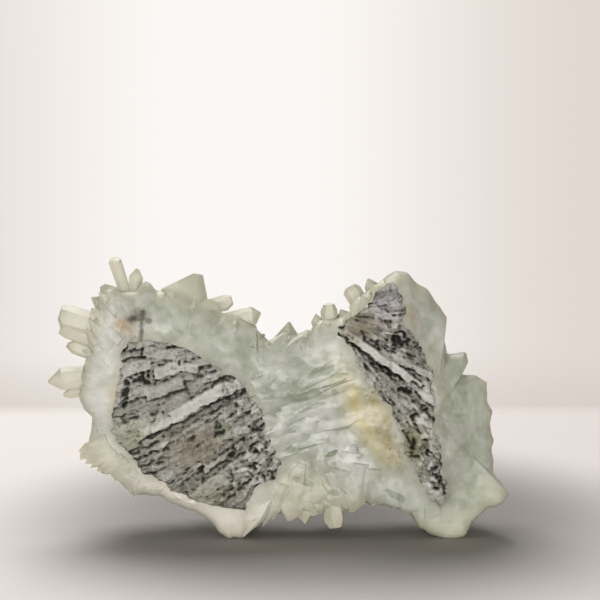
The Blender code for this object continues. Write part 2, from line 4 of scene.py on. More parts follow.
import bmesh
import bpy
import numpy as np
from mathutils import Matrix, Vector


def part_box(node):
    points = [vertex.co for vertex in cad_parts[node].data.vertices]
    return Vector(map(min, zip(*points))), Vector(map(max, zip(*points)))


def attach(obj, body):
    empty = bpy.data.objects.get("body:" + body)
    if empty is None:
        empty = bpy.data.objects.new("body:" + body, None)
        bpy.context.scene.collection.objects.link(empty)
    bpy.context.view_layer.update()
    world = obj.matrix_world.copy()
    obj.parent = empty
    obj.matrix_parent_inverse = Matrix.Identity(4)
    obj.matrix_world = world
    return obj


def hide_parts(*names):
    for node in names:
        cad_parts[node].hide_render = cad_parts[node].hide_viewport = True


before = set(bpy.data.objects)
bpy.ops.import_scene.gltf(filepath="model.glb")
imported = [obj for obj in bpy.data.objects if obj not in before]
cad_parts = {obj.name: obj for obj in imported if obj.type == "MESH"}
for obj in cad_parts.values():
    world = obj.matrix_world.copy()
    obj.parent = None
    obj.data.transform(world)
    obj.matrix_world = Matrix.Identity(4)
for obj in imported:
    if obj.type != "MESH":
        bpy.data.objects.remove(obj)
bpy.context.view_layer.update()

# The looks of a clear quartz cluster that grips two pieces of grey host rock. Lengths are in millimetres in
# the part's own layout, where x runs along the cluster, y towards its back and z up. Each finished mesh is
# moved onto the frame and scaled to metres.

# ------------------------------------------------------------------------------
# The quartz cluster. The real one is a single mass of frosted, pale green quartz: a lumpy body with hundreds
# of six-sided points grown out of it, clear at their tips and milky at their roots. It grew round the host
# rock, and it was broken off across the front, so the rock shows there in two windows.
# ------------------------------------------------------------------------------

MM = 0.001
SEED = 7
ROCK_BACK = 7.0  # y of the flat back of each piece of rock, inside the quartz
RIGHT_ROCK_REACH = 48.0  # x of the right rock's farthest point
FAR = 99.0  # where a search for what is nearest starts, as the square of a distance
TINY = 1e-9  # stands in for nothing where a division needs more

_, rock_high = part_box("host_rock_right")
FRAME_SHIFT = np.array([rock_high.x / MM - RIGHT_ROCK_REACH, rock_high.y / MM - ROCK_BACK, 0.0])

# The rim of the mass without its points, as (x, z), clockwise from the left end.
RIM = np.array([
    -57, 41,  -55.2, 52,  -53.4, 61.5,  -51.6, 67.8,  -49.4, 71.4,  -46.2, 71.4,  -40.9, 71.4,  -39.2, 73.2,
    -38.2, 74.2,  -36.4, 73.3,  -35.2, 71.4,  -27, 70.2,  -20.5, 67.2,  -14, 64,  -9.4, 62.8,  -6.5, 61,
    -6.4, 58.6,  -3.2, 57,  2, 58.6,  7.6, 58.8,  9.4, 60.6,  11, 62.4,  16.6, 63,  20.8, 65.8,  23.4, 70.2,
    26.6, 72.2,  30, 74.6,  32.6, 76.4,  36.4, 76.2,  38.6, 73.8,  42.2, 71.6,  46, 66.3,  48, 63.4,
    45.8, 60,  47.4, 56.6,  47.9, 53,  53, 53.2,  53.8, 50.8,  52, 47,  56, 46.8,  59.6, 45,  59.8, 40,
    60.7, 35.8,  60.3, 32,  61.2, 28.4,  60.8, 26.2,  61.8, 21.6,  61.4, 17.6,  63.4, 16.4,  66, 12.8,
    65.4, 10.8,  62.4, 8.8,  59.4, 7.7,  55.4, 3.9,  53.6, 0.6,  50, -0.2,  46, 0.2,  43.6, 1.2,  40, 2.8,
    37.3, 7,  32.4, 8.2,  26.9, 10.2,  20.6, 9.4,  12, 7.8,  3.4, 7.2,  -1.2, 7,  -4.4, 4.8,  -7.7, 2.8,
    -10.6, 0,  -14.2, -0.2,  -17.3, 1.4,  -19.2, 4.4,  -22.5, 7,  -25.1, 8.2,  -28.9, 9.4,  -34.1, 12.2,
    -40.4, 12.8,  -42.8, 13.2,  -46.6, 17.4,  -51.6, 20,  -54.2, 23.4,  -55.8, 25,  -54.4, 28.4,  -54, 31.2,
    -53.6, 35,  -56, 37.4,
]).reshape(-1, 2)
SPINE_LEFT = np.array([-29.0, 40.0])  # the line that the rings of the body close in on
SPINE_RIGHT = np.array([43.0, 36.0])

# Swellings of the body: centre (x, z), half-widths and height. The lobes are fullest round the rock.
FRONT_BASE = 5.0
FRONT_LOBES = [
    ((-25.0, 34.0), (26.0, 27.0), 8.0),
    ((32.5, 60.0), (10.0, 16.0), 8.5),
    ((43.0, 26.0), (10.0, 20.0), 7.5),
]
BACK_BASE = 16.0
BACK_LOBES = [((-25.0, 38.0), (25.0, 26.0), 13.0), ((41.0, 36.0), (17.0, 26.0), 11.0)]


def reach_of(outline, start, heading):
    """Distance from each start to the outline along its heading: where the ray last crosses a side."""
    edge = np.roll(outline, -1, axis=0) - outline
    away = outline[None] - start[:, None]
    cross = heading[:, None, 0] * edge[None, :, 1] - heading[:, None, 1] * edge[None, :, 0]
    cross = np.where(np.abs(cross) < TINY, TINY, cross)
    reach = (away[..., 0] * edge[:, 1] - away[..., 1] * edge[:, 0]) / cross
    along = (away[..., 0] * heading[:, None, 1] - away[..., 1] * heading[:, None, 0]) / cross
    hit = (reach > 0) & (along >= -TINY) & (along <= 1 + TINY)
    return np.where(hit, reach, 0.0).max(axis=1)


def spine_at(x):
    """The point of the spine that serves each column x, as (x, z)."""
    share = np.clip((x - SPINE_LEFT[0]) / (SPINE_RIGHT[0] - SPINE_LEFT[0]), 0.0, 1.0)
    return SPINE_LEFT + share[:, None] * (SPINE_RIGHT - SPINE_LEFT)


def rim_share(x, z):
    """How far each (x, z) lies on the way from the spine, 0, to the rim, 1."""
    start = spine_at(x)
    away = np.stack([x, z], axis=1) - start
    length = np.maximum(np.hypot(away[:, 0], away[:, 1]), 1e-6)
    return length / reach_of(RIM, start, away / length[:, None])


def swelling(x, z, base, lobes):
    """A base height with a bell-shaped rise over each lobe."""
    height = np.full(np.shape(x), base)
    for (cx, cz), (wide, tall), rise in lobes:
        height = height + rise * np.exp(-(((x - cx) / wide) ** 2) - ((z - cz) / tall) ** 2)
    return height


def front_y(x, z, share):
    """The body's front: the swelling times the root of one less the share's fifth power, to round the rim."""
    return -swelling(x, z, FRONT_BASE, FRONT_LOBES) * np.sqrt(np.maximum(0.0, 1 - share**5))


def back_y(x, z, share):
    """The body's back: the same with gentler powers, so it falls away sooner towards the rim."""
    return swelling(x, z, BACK_BASE, BACK_LOBES) * np.maximum(0.0, 1 - share**2.6) ** 0.6


def lattice(cells, seed):
    """A random number from -1 to 1 for each whole-numbered cell, mixed from its coordinates and a seed."""
    mixed = np.full(cells.shape[:-1], seed * 7919 + 13, dtype=np.uint32)
    for axis, prime in zip(range(cells.shape[-1]), (374761393, 668265263, 2246822519)):
        mixed = mixed + cells[..., axis].astype(np.int64).astype(np.uint32) * np.uint32(prime)
        mixed = (mixed ^ (mixed >> np.uint32(13))) * np.uint32(1274126177)
    return ((mixed ^ (mixed >> np.uint32(16))) & np.uint32(0xFFFF)) / 32767.5 - 1.0


def noise(points, size, seed):
    """Smooth noise from -1 to 1: the lattice's values, blended between the corners of cells of that size."""
    scaled = np.asarray(points) / size
    low = np.floor(scaled)
    part = scaled - low
    part = part * part * (3 - 2 * part)
    total = 0.0
    for corner in np.ndindex(*(2,) * scaled.shape[-1]):
        weight = np.prod(np.where(np.array(corner) == 1, part, 1 - part), axis=-1)
        total = total + weight * lattice(low + np.array(corner), seed)
    return total


def noises(points, seed, *rows, start=0.0):
    """A start and noises on top of it, each a strength and a size, whose seeds follow one another."""
    return sum((strong * noise(points, size, seed + k) for k, (strong, size) in enumerate(rows)), start)


def layered_noise(points, size, seed, octaves=4, fade=0.5):
    """Noise summed over octaves, each half the size of the one before and weaker by the fade."""
    layers = [noise(points, size / 2**i, seed + i) * fade**i for i in range(octaves)]
    return sum(layers) / sum(fade**i for i in range(octaves))


def two_numbers(cells, seed):
    """Two of the lattice's numbers for each cell, side by side."""
    return np.stack([lattice(cells, seed), lattice(cells, seed + 1)], axis=-1)


def push(points, size, seed):
    """Two noises side by side, to push points about in a plane."""
    return np.stack([noise(points, size, seed), noise(points, size, seed + 1)], axis=-1)


def nearest_site(points, seed):
    """The nearest of sites scattered one to a cell: that site's cell, and the way to each point from it."""
    home = np.floor(points)
    nearest = np.full(points.shape[:-1], FAR)
    cell, offset = home.copy(), np.zeros(points.shape)
    for step in np.ndindex(3, 3):
        there = home + np.array(step) - 1
        away = points - there - 0.5 - 0.42 * two_numbers(there, seed)
        gap = (away**2).sum(axis=-1)
        closer = (gap < nearest)[..., None]
        cell, offset = np.where(closer, there, cell), np.where(closer, away, offset)
        nearest = np.minimum(nearest, gap)
    return cell, offset


def low_pyramids(points, size, slope, seed):
    """A field of low six-sided pyramids of about a size, each turned its own way: the highest one shows.

    A pyramid falls away with the largest of the distances along its three axes.
    """
    scaled = points / size
    home = np.floor(scaled)
    best = np.full(points.shape[:-1], -FAR)
    for step in np.ndindex(3, 3):
        there = home + np.array(step) - 1
        away = scaled - there - 0.5 - 0.36 * two_numbers(there, seed)
        turns = [lattice(there, seed + 2) * math.pi / 6 + k * math.pi / 3 for k in range(3)]
        fall = [np.abs(away[..., 0] * np.cos(turn) + away[..., 1] * np.sin(turn)) for turn in turns]
        best = np.maximum(best, 0.25 * lattice(there, seed + 3) - np.max(fall, axis=0))
    return size * slope * (best + 0.35)


def store(mesh, **values):
    """Stores arrays with a number for each vertex as attributes of the mesh."""
    for name, numbers in values.items():
        mesh.attributes.new(name, "FLOAT", "POINT").data.foreach_set("value", np.float32(numbers).ravel())


def placed(name, data):
    """A new object of the scene for a mesh, a lamp or a camera."""
    made = bpy.data.objects.new(name, data)
    bpy.context.scene.collection.objects.link(made)
    return made


MERGE = 1e-4  # points closer than this are one
NO_LENGTH = 1e-5  # edges shorter than this go


def mesh_object(name, verts, faces, **values):
    """An object from vertices and faces, with points that coincide merged and its faces turned outwards."""
    mesh = bpy.data.meshes.new(name)
    mesh.from_pydata(np.asarray(verts).tolist(), [], faces)
    store(mesh, **values)
    bm = bmesh.new()
    bm.from_mesh(mesh)
    bmesh.ops.remove_doubles(bm, verts=bm.verts, dist=MERGE)
    bmesh.ops.dissolve_degenerate(bm, edges=bm.edges, dist=NO_LENGTH)
    bmesh.ops.recalc_face_normals(bm, faces=bm.faces)
    bm.to_mesh(mesh)
    bm.free()
    return placed(name, mesh)


def grid_faces(rows, columns):
    """Quads between neighbouring rows of a sheet whose columns go all the way round."""
    row, column = np.meshgrid(np.arange(rows - 1), np.arange(columns), indexing="ij")
    after = (column + 1) % columns
    quads = np.stack([row * columns + column, row * columns + after,
                      (row + 1) * columns + after, (row + 1) * columns + column], axis=-1)
    return quads.reshape(-1, 4).tolist()


SPOKES = (128, 170)  # spokes of the fine body: along the spine, and round each end
FRONT_RINGS, BACK_RINGS = 58, 26


def spokes(columns, turns):
    """Spine point and heading of each spoke: along the top, round the right end, the foot and the left."""
    along = SPINE_LEFT + np.linspace(0, 1, columns + 1)[:, None] * (SPINE_RIGHT - SPINE_LEFT)
    angle = math.pi * np.arange(1, turns) / turns
    cap = np.stack([np.sin(angle), np.cos(angle)], axis=1)
    up = np.repeat([[0.0, 1.0]], columns + 1, axis=0)
    start = [along, np.repeat([SPINE_RIGHT], len(cap), 0), along[::-1], np.repeat([SPINE_LEFT], len(cap), 0)]
    return np.concatenate(start), np.concatenate([up, cap, -up, -cap])


def skin_y(x, z, share):
    """The front skin: the body's front with soft lumps and low pyramids, which fade out at the rim."""
    here = np.stack([x, z], axis=-1)
    lumps = noises(here, 21, (0.5, 8.0), (0.12, 2.4))
    warped = here + 0.5 * push(here, 3.0, 26)
    lumps = lumps - low_pyramids(warped, 9.0, 0.24, 31) - low_pyramids(warped, 3.4, 0.14, 41)
    return front_y(x, z, share) + lumps * np.clip(1.15 - share, 0.15, 1.0)


def quartz_body():
    """The body as rings from the spine over the front to the rim, and then over the back to the spine.

    The rings crowd towards the rim, and those of the back are dented there along their spokes.
    """
    start, heading = spokes(*SPOKES)
    reach = reach_of(RIM, start, heading)
    edge = start + heading * reach[:, None]
    reach = noises(edge, 24, (0.45, 4.0), (0.25, 1.6), start=reach)
    rows = []
    for share in np.linspace(0, 1, FRONT_RINGS + 1) ** 0.8:
        at = start + heading * (reach * share)[:, None]
        y = skin_y(at[:, 0], at[:, 1], share) if share < 1 else np.zeros(len(at))
        rows.append(np.stack([at[:, 0], y, at[:, 1]], axis=1))
    for share in 1 - np.linspace(0, 1, BACK_RINGS + 1)[1:] ** 1.7:
        at = start + heading * (reach * share)[:, None]
        row = np.stack([at[:, 0], back_y(at[:, 0], at[:, 1], share), at[:, 1]], axis=1)
        dent = 1.1 * np.abs(noise(row, 6.0, 28)) + 0.7 * np.abs(noise(row, 2.6, 29))
        row[:, [0, 2]] -= heading * (dent * share)[:, None]
        rows.append(row)
    return mesh_object("body", np.concatenate(rows), grid_faces(len(rows), len(start)))


# The points. Each is a six-sided prism that ends in a slanting tip, most of them in a short ridge.

ROOT_WIDTH = 0.86  # width at the root against the width at the collar
TIP_SLOPE = 1.05  # height of a tip against half the width
BLADE_SLOPES = (1.6, 4.0)  # the same for the blades that lie on the front
TIP_LIMIT = 0.72  # most of a point's length that its tip takes
BLUNT_END = 0.62  # width of a broken or blunt end against the point's own
RIDGE = (0.06, 0.34)  # length of a sharp point's end against the width
RIDGE_WIDTH = 0.05
COLLAR_STEP = 0.09  # how far the corners of a collar step up and down, against the width
LEAN = 0.12  # how far a tip leans off its axis, against the width
FRONT_LEAN = 0.1  # the same on the front
CORNERS = 6


def crystal_verts(tip, root, width, lean, flat, roll, blunt, slope, seed=0):
    """Prisms as three hexagons each, at root, collar and end, in an array of crystal, corner and x, y, z.

    The collar lies below the tip by its slope times half the width, and its corners step up and down in
    turn. The end is a small hexagon, drawn out to a ridge on a sharp point and wide on a blunt one.
    """
    dice = np.random.default_rng(seed)
    count = len(tip)
    axis = tip - root
    length = np.linalg.norm(axis, axis=1)
    axis = axis / length[:, None]
    side = np.cross(axis, [0.0, 1.0, 0.0])
    reach = np.linalg.norm(side, axis=1)
    side = np.where(reach[:, None] > 0.1, side / np.maximum(reach, 1e-6)[:, None], [1.0, 0.0, 0.0])
    depth = np.cross(axis, side)
    down = np.minimum(TIP_LIMIT, slope * width / 2 / length) * np.where(blunt > 0, 0.5, 1.0)
    collar = tip - axis * (length * down)[:, None] - lean
    turn = roll[:, None] + np.arange(CORNERS) * (2 * math.pi / CORNERS)
    worn = dice.uniform(0.9, 1.06, (count, CORNERS))
    across = np.cos(turn) * worn
    inwards = np.sin(turn) * worn * flat[:, None]

    def hexagon(one, other):
        return one[..., None] * side[:, None] + other[..., None] * depth[:, None]

    step = np.where(np.arange(CORNERS) % 2 == 0, 1.0, -1.0) * dice.uniform(0.0, COLLAR_STEP, (count, 1))
    step = (step + dice.uniform(-0.05, 0.05, (count, CORNERS))) * (width * np.minimum(1.0, down * 3))[:, None]
    ridge = np.where(blunt > 0, BLUNT_END, dice.uniform(*RIDGE, count))
    pinch = np.where(blunt > 0, BLUNT_END, RIDGE_WIDTH)
    ridge_turn = dice.uniform(0, math.pi, count)
    c, s = np.cos(ridge_turn)[:, None], np.sin(ridge_turn)[:, None]
    along = (across * c + inwards * s) * ridge[:, None]
    over = (inwards * c - across * s) * pinch[:, None]
    half = (width / 2)[:, None, None]
    rings = [
        root[:, None] + hexagon(across, inwards) * half * ROOT_WIDTH,
        collar[:, None] + hexagon(across, inwards) * half + axis[:, None] * step[..., None],
        tip[:, None] + hexagon(along * c - over * s, along * s + over * c) * half,
    ]
    return np.concatenate(rings, axis=1)


def crystal_faces(count):
    """The faces of that many prisms: both ends, and two rows of six sides."""
    one = [list(range(CORNERS))[::-1], [2 * CORNERS + k for k in range(CORNERS)]]
    for low in (0, CORNERS):
        for k in range(CORNERS):
            after = (k + 1) % CORNERS
            one.append([low + k, low + after, low + CORNERS + after, low + CORNERS + k])
    return [[3 * CORNERS * i + corner for corner in face] for i in range(count) for face in one]


def apart(verts):
    """Sorts the crystals into batches in which no two boxes touch: each takes the first batch it fits."""
    low, high = verts.min(axis=1), verts.max(axis=1)
    batch = np.full(len(verts), -1)
    for i in range(len(verts)):
        touching = np.all((low <= high[i] + 0.01) & (high >= low[i] - 0.01), axis=1)
        taken = set(batch[touching])
        batch[i] = next(b for b in range(len(verts)) if b not in taken)
    return [np.flatnonzero(batch == b) for b in range(batch.max() + 1)]


def family(tip, root, width, lean, flat, roll, slope, blunt=None):
    """Points as one dictionary of arrays, sharp unless their bluntness is given."""
    blunt = np.zeros(len(tip)) if blunt is None else blunt
    return dict(tip=tip, root=root, width=width, lean=lean, flat=flat, roll=roll, slope=slope, blunt=blunt)


# Points that stand out on the rim, as tip (x, y, z), root (x, y, z) and width. These are sharp.
SHARP_POINTS = [
    ((-66, 1, 45.1), (-49.5, 4, 47.2), 6.6), ((-61.8, 2, 41), (-50.5, 4, 43.4), 3.6),
    ((-60.6, 1.4, 55.6), (-47.6, 3, 50.6), 4.4), ((-53.4, 1, 69.2), (-44.6, 4, 61), 5.8),
    ((-50.3, 2, 72.6), (-44.4, 4, 63), 6), ((-40.4, 3, 77.2), (-42, 5, 66), 4.4),
    ((-32.6, 0.5, 71.2), (-32.6, 3, 60), 6.4), ((-5.2, 1.5, 64.7), (-19, 3, 61.4), 5.6),
    ((-4.2, 1, 58.6), (-11.6, 3, 53.6), 4.4), ((2.8, 1, 62.2), (3, 2, 49), 7.4),
    ((10.4, 1, 64.5), (12.8, 3, 55.6), 3.4), ((25.4, 3, 74.4), (28, 4, 65.6), 3.8),
    ((17.6, 2, 65.6), (20.6, 4, 58.6), 4), ((7.4, -1, 4.2), (6, 1, 21), 5.6),
    ((21.8, -0.5, 7.2), (17, 2, 24), 6.8), ((26.8, 0, 9.2), (24, 3, 24), 7),
    ((-57, 1, 23.4), (-46, 3, 31), 4), ((-51, 0.5, 18.8), (-41.6, 3, 26.6), 3.6),
    ((-42.2, 0.5, 11.8), (-38.6, 3, 21.6), 3),
]
# These have ends that were broken off or grew blunt. The last two are the back feet.
BLUNT_POINTS = [
    ((-62.4, 1.5, 64.8), (-46.4, 4, 59), 7.4), ((-62.2, 0.5, 60.4), (-46, 3, 54.4), 5.6),
    ((-47.2, 2, 80.2), (-42.8, 5, 66.6), 4), ((-13.6, 5.5, 68), (-26, 6.5, 64.2), 4.8),
    ((14.1, 1, 67.2), (15, 3, 56), 5), ((20.2, 3.5, 72), (25.6, 4, 62.6), 5.4),
    ((16.3, -1.5, 3.2), (13.2, 1, 24), 6.4), ((-11, 23, -1.6), (-12, 12, 22), 9.6),
    ((47, 22, -1.6), (44, 11, 22), 9.6),
]
# The broad peak over the left window: tip, root, width, bluntness, and its lean, flatness and roll.
PEAK = ((-23.0, 0.4, 75.9), (-27.4, -2.2, 50.0), 13.4, 0, ((2.8, 0.4, -1.4), 0.62, 0.0))

# The broad forms of the front: tip (x, z), root (x, z), width, and how proud they stand. The narrow ones at
# the end are blades in the sugary rind at the lower left.
FRONT_PLATES = [
    ((-31.6, 71), (-32.4, 56.6), 8.6, 0.1), ((-18.4, 68.4), (-24.4, 54.2), 10.4, 0.2),
    ((-12.6, 64.4), (-19, 50), 10.8, 0.4), ((-6.2, 59.6), (-13, 45.6), 10.8, 0.4),
    ((-38.4, 71.8), (-35.6, 56.6), 8.6, 0.1), ((1.8, 59.4), (-4.6, 40.4), 9.4, 0.4),
    ((8.8, 60), (3.8, 42.8), 8.8, 0.4), ((16.6, 62.8), (13, 45), 8.2, 0.3),
    ((22.6, 69.6), (23.6, 63), 6, 0.4), ((29.4, 74.4), (28.6, 69.6), 5.6, 0.3),
    ((50.6, 50.6), (41.4, 43.4), 10, -0.4), ((57.6, 42), (45.4, 38.8), 9.6, -0.3),
    ((43.6, 2.6), (43.8, 11.6), 9, 0.2), ((35.6, 7.6), (40, 18.2), 8.6, 0.2),
    ((-47.6, 18.2), (-40, 21.6), 7.4, 0.5), ((-40, 14.2), (-35, 17.8), 7.6, 0.4),
    ((-32, 12), (-29.2, 14.6), 7.6, 0.1), ((-22.8, 8.8), (-22.4, 12.4), 7.8, 0),
    ((-13.4, 1), (-13.8, 10.4), 9.6, -0.1), ((-4.6, 5), (-7, 11.6), 8, 0.1),
    ((20.6, 7.6), (22.8, 22.5), 6.2, 1.7), ((13.4, 7), (17, 21), 9.2, 2),
    ((6.4, 11.4), (13, 15.6), 5.4, 1.5), ((26.6, 9.8), (26.8, 21), 7.2, 0.8),
    ((2.6, 5.2), (6, 17), 6.6, 0.9), ((-3.6, 6.4), (0.4, 17), 6.2, 0.7),
    ((-57, 25.2), (-48.8, 30.2), 2.8, 0.9), ((-56.8, 23.2), (-48.2, 28.8), 2.6, 0.7),
    ((-55.4, 21.8), (-47.2, 27.2), 2.4, 1), ((-53.8, 20.8), (-46, 26.4), 2.8, 0.7),
    ((-52, 19.8), (-44.2, 25.2), 2.2, 0.9), ((-50, 19), (-42.8, 24.2), 2.6, 0.6),
    ((-47, 17.2), (-41.6, 22.6), 2.8, 0.4), ((-44.6, 15.8), (-42.6, 21), 2, 0.7),
    ((-42.6, 12.8), (-41.4, 19.2), 2.2, 0.8), ((-41, 12.2), (-39.6, 18.2), 1.8, 0.5),
]

# Outlines of the rock windows, as (x, z), clockwise from the top, and the seeds of their broken edges.
LEFT_SEED, RIGHT_SEED = 400, 500
LEFT_WINDOW = np.array([
    -37.4, 58,  -33, 57.3,  -29.7, 56.8,  -25.4, 55.2,  -22.6, 53.6,  -19.4, 52.2,  -16.1, 50,  -12.8, 47.3,
    -10.1, 44,  -7.9, 40.7,  -5.7, 37.8,  -4.1, 34,  -2.4, 29.3,  -0.8, 25.4,  0, 22.2,  -1.2, 18.9,  -4, 17,
    -6.6, 15.2,  -8.1, 11.8,  -9.5, 9,  -12.8, 9.8,  -17.2, 10.6,  -21.5, 11.4,  -25.4, 12.8,  -29.7, 15.3,
    -33, 17.4,  -37.4, 20.7,  -40.7, 23.7,  -43.9, 27,  -46.1, 30.2,  -47.2, 34,  -46.8, 38.2,  -45.3, 43.1,
    -44.6, 47.5,  -44.6, 51.7,  -44, 55,  -42, 57.2,
]).reshape(-1, 2)
RIGHT_WINDOW = np.array([
    32, 74,  33.8, 72.4,  34.5, 70.2,  34.9, 67.2,  34.7, 64.2,  36.4, 61.6,  38.6, 58.2,  40.4, 54.6,
    42.2, 49.8,  43, 45.6,  44, 40.3,  44.1, 34.5,  44.3, 30.3,  45.2, 26.1,  46.2, 21.3,  46.9, 16.6,
    47, 12.9,  45.6, 10.2,  44, 11.6,  42.8, 13.9,  41.6, 16.3,  39.3, 18.1,  37.6, 20.6,  37.2, 23.4,
    35.8, 26.8,  34.8, 30.8,  33.3, 35.1,  30.9, 39.3,  27.4, 42.8,  25.2, 45.4,  23.6, 48.5,  22.3, 52,
    21.2, 55.1,  18.9, 57.7,  17.4, 59.3,  17.2, 61,  19.2, 62.8,  22, 64.6,  25.4, 67,  27.4, 70.2,
    29.8, 72.8,
]).reshape(-1, 2)


def surface_y(x, z):
    """The front of the body, held back from its steep edge."""
    return front_y(x, z, np.minimum(0.9, rim_share(x, z)))


def uneven(dice, count, spread):
    """A direction thrown for each point, up to a spread each way."""
    return dice.uniform(-spread, spread, (count, 3))


RIM_DIP = 0.45  # height over the rim's plane that a lying point keeps at the rim
HALF_THICK = math.sqrt(3) / 4  # half the thickness of a prism that lies on a side, against its width


def lying(tip, root, width, stand, seed, flat=(0.5, 0.75), roll=0.16, slopes=BLADE_SLOPES):
    """Points that lie on the front: each follows the body to its tip, and dips to the rim's plane there."""
    dice = np.random.default_rng(seed)
    count = len(tip)
    flatness = dice.uniform(*flat, count)
    sunk = HALF_THICK * width * flatness - stand * dice.uniform(0.7, 1.3, count)
    at_rim = np.minimum(1.0, rim_share(tip[:, 0], tip[:, 1])) ** 6
    tip_y = surface_y(tip[:, 0], tip[:, 1]) * (1 - (1 - RIM_DIP) * at_rim) + sunk * (1 - at_rim)
    root_y = surface_y(root[:, 0], root[:, 1]) + sunk
    return family(
        np.stack([tip[:, 0], tip_y + dice.uniform(-0.3, 0.3, count), tip[:, 1]], axis=1),
        np.insert(root, 1, root_y, axis=1), width, uneven(dice, count, FRONT_LEAN) * width[:, None], flatness,
        dice.uniform(-roll, roll, count), dice.uniform(*slopes, count),
    )


NARROW = 3.6  # width below which a listed point of the front has a steep tip
STEEPER = 2.2


def front_plates():
    """The broad forms of the front, from their list."""
    tip, root, width, stand = (np.array(column) for column in zip(*FRONT_PLATES))
    points = lying(tip, root, width, stand, seed=300, flat=(0.34, 0.5), slopes=(0.9, 1.3))
    points["slope"] = points["slope"] * np.where(width < NARROW, STEEPER, 1.0)
    return points


LEAST_KEPT = 0.35  # least share of its length that a shortened point keeps
STOUTEST = 0.6  # greatest width of a point in a fan against its length


def fan(window, centre, bearings, shares, count, widths, lengths, spread, stands, limit, seed):
    """Points that radiate from a centre. Their roots lie at shares of the way from the window's edge to the
    rim, and a point that would pass the rim by more than the limit is shortened."""
    dice = np.random.default_rng(seed)
    bearing = np.radians(dice.uniform(*bearings, count))
    heading = np.stack([np.cos(bearing), np.sin(bearing)], axis=1)
    start = np.repeat([centre], count, axis=0).astype(float)
    inner = reach_of(window, start, heading) if window is not None else 0.0
    outer = reach_of(RIM, start, heading)
    root = start + heading * (inner + dice.uniform(*shares, count) * (outer - inner))[:, None]
    way = bearing + np.radians(spread) * dice.normal(size=count)
    length = dice.uniform(*lengths, count)
    step = np.stack([np.cos(way), np.sin(way)], axis=1) * length[:, None]
    at_root = rim_share(root[:, 0], root[:, 1])
    at_tip = rim_share(root[:, 0] + step[:, 0], root[:, 1] + step[:, 1])
    keep = np.clip((limit - at_root) / np.maximum(at_tip - at_root, 1e-3), LEAST_KEPT, 1.0)
    tip = root + step * keep[:, None]
    past = np.maximum(rim_share(tip[:, 0], tip[:, 1]) / limit, 1.0)
    tip = spine_at(tip[:, 0]) + (tip - spine_at(tip[:, 0])) / past[:, None]
    width = np.minimum(dice.uniform(*widths, count), STOUTEST * length * keep)
    return lying(tip, root, width, dice.uniform(*stands, count), seed + 1)


# Fans of finer points on the front: window, centre (x, z), first and last bearing in degrees, shares of the
# way from the window to the rim, how many, widths, lengths, spread in degrees, stands, and the limit.
FANS = [
    (LEFT_WINDOW, (-24, 38), (122, 174), (0.05, 0.85), 44, (3.4, 7), (8, 15), 7, (-0.2, 0.25), 0.99),
    (LEFT_WINDOW, (-24, 38), (124, 172), (0.7, 0.95), 12, (2.6, 4.4), (6, 9), 10, (0.1, 0.6), 1.04),
    (LEFT_WINDOW, (-24, 38), (176, 214), (0.3, 0.8), 12, (4, 7), (6, 12), 8, (0, 0.15), 0.97),
    (None, (-14, 34), (50, 88), (0.8, 1), 14, (3, 5.6), (5, 9), 10, (0, 0.3), 1),
    (None, (10, 30), (62, 122), (0.8, 1), 16, (3, 5.6), (5, 9), 10, (0, 0.3), 1),
    (None, (33, 52), (100, 140), (0.6, 0.9), 5, (3.4, 6), (4, 8), 12, (0, 0.2), 0.98),
    (None, (9, 29), (232, 312), (0.1, 0.9), 50, (3.4, 7.2), (7, 13), 7, (0.1, 0.9), 1.03),
]


COMB_TILT = 19.0  # degrees that the comb's points rise to the right


def comb(count=40, seed=61):
    """Long points side by side between the windows, which all rise to the right at nearly one bearing."""
    dice = np.random.default_rng(seed)
    root = np.stack([dice.uniform(-9.0, 10.0, count), dice.uniform(21.0, 45.0, count)], axis=1)
    bearing = np.radians(dice.normal(COMB_TILT, 5.0, count))
    length = dice.uniform(9.0, 17.0, count)
    tip = root + np.stack([np.cos(bearing), np.sin(bearing)], axis=1) * length[:, None]
    width = dice.uniform(2.4, 6.0, count)
    return lying(tip, root, width, dice.uniform(0.1, 0.6, count), seed + 1, flat=(0.35, 0.7), roll=0.6)


SUGAR_ROOT = 2.0  # how deep the small points of the front are rooted


def sugar(centre, radii, count, widths, lengths, seed):
    """Small points that stand out of the front in all directions, inside an oval."""
    dice = np.random.default_rng(seed)
    turn, away = dice.uniform(0, 2 * math.pi, count), np.sqrt(dice.uniform(0, 1, count))
    x = centre[0] + radii[0] * away * np.cos(turn)
    z = centre[1] + radii[1] * away * np.sin(turn)
    seat = np.stack([x, surface_y(x, z), z], axis=1)
    aim = uneven(dice, count, 0.8) + np.array([0.0, -1.0, 0.0])
    aim = aim / np.linalg.norm(aim, axis=1)[:, None]
    length, width = dice.uniform(*lengths, count), dice.uniform(*widths, count)
    return family(
        seat + aim * length[:, None], seat - aim * SUGAR_ROOT, width,
        uneven(dice, count, FRONT_LEAN) * width[:, None], dice.uniform(0.8, 1.0, count),
        dice.uniform(0, 1, count), np.full(count, TIP_SLOPE),
    )


def thrown(dice, width):
    """The lean, flatness and roll of one point."""
    lean = [dice.uniform(-LEAN, LEAN) * width for _ in range(3)]
    return lean, dice.uniform(0.72, 1.0), dice.uniform(0, math.pi / 3)


def listed_points(rows):
    """Points from rows of tip, root, width, bluntness and what was thrown for them."""
    tip, root, width, blunt, throws = zip(*rows)
    columns = [np.array(column, dtype=float) for column in (tip, root, width, *zip(*throws))]
    return family(*columns, np.full(len(rows), TIP_SLOPE), np.array(blunt, dtype=float))


def rim_points():
    dice = random.Random(SEED + 1)
    sharp = [(tip, root, width, 0, thrown(dice, width)) for tip, root, width in SHARP_POINTS]
    blunt = [(tip, root, width, 1, thrown(dice, width)) for tip, root, width in BLUNT_POINTS]
    return listed_points(sharp + blunt + [PEAK])


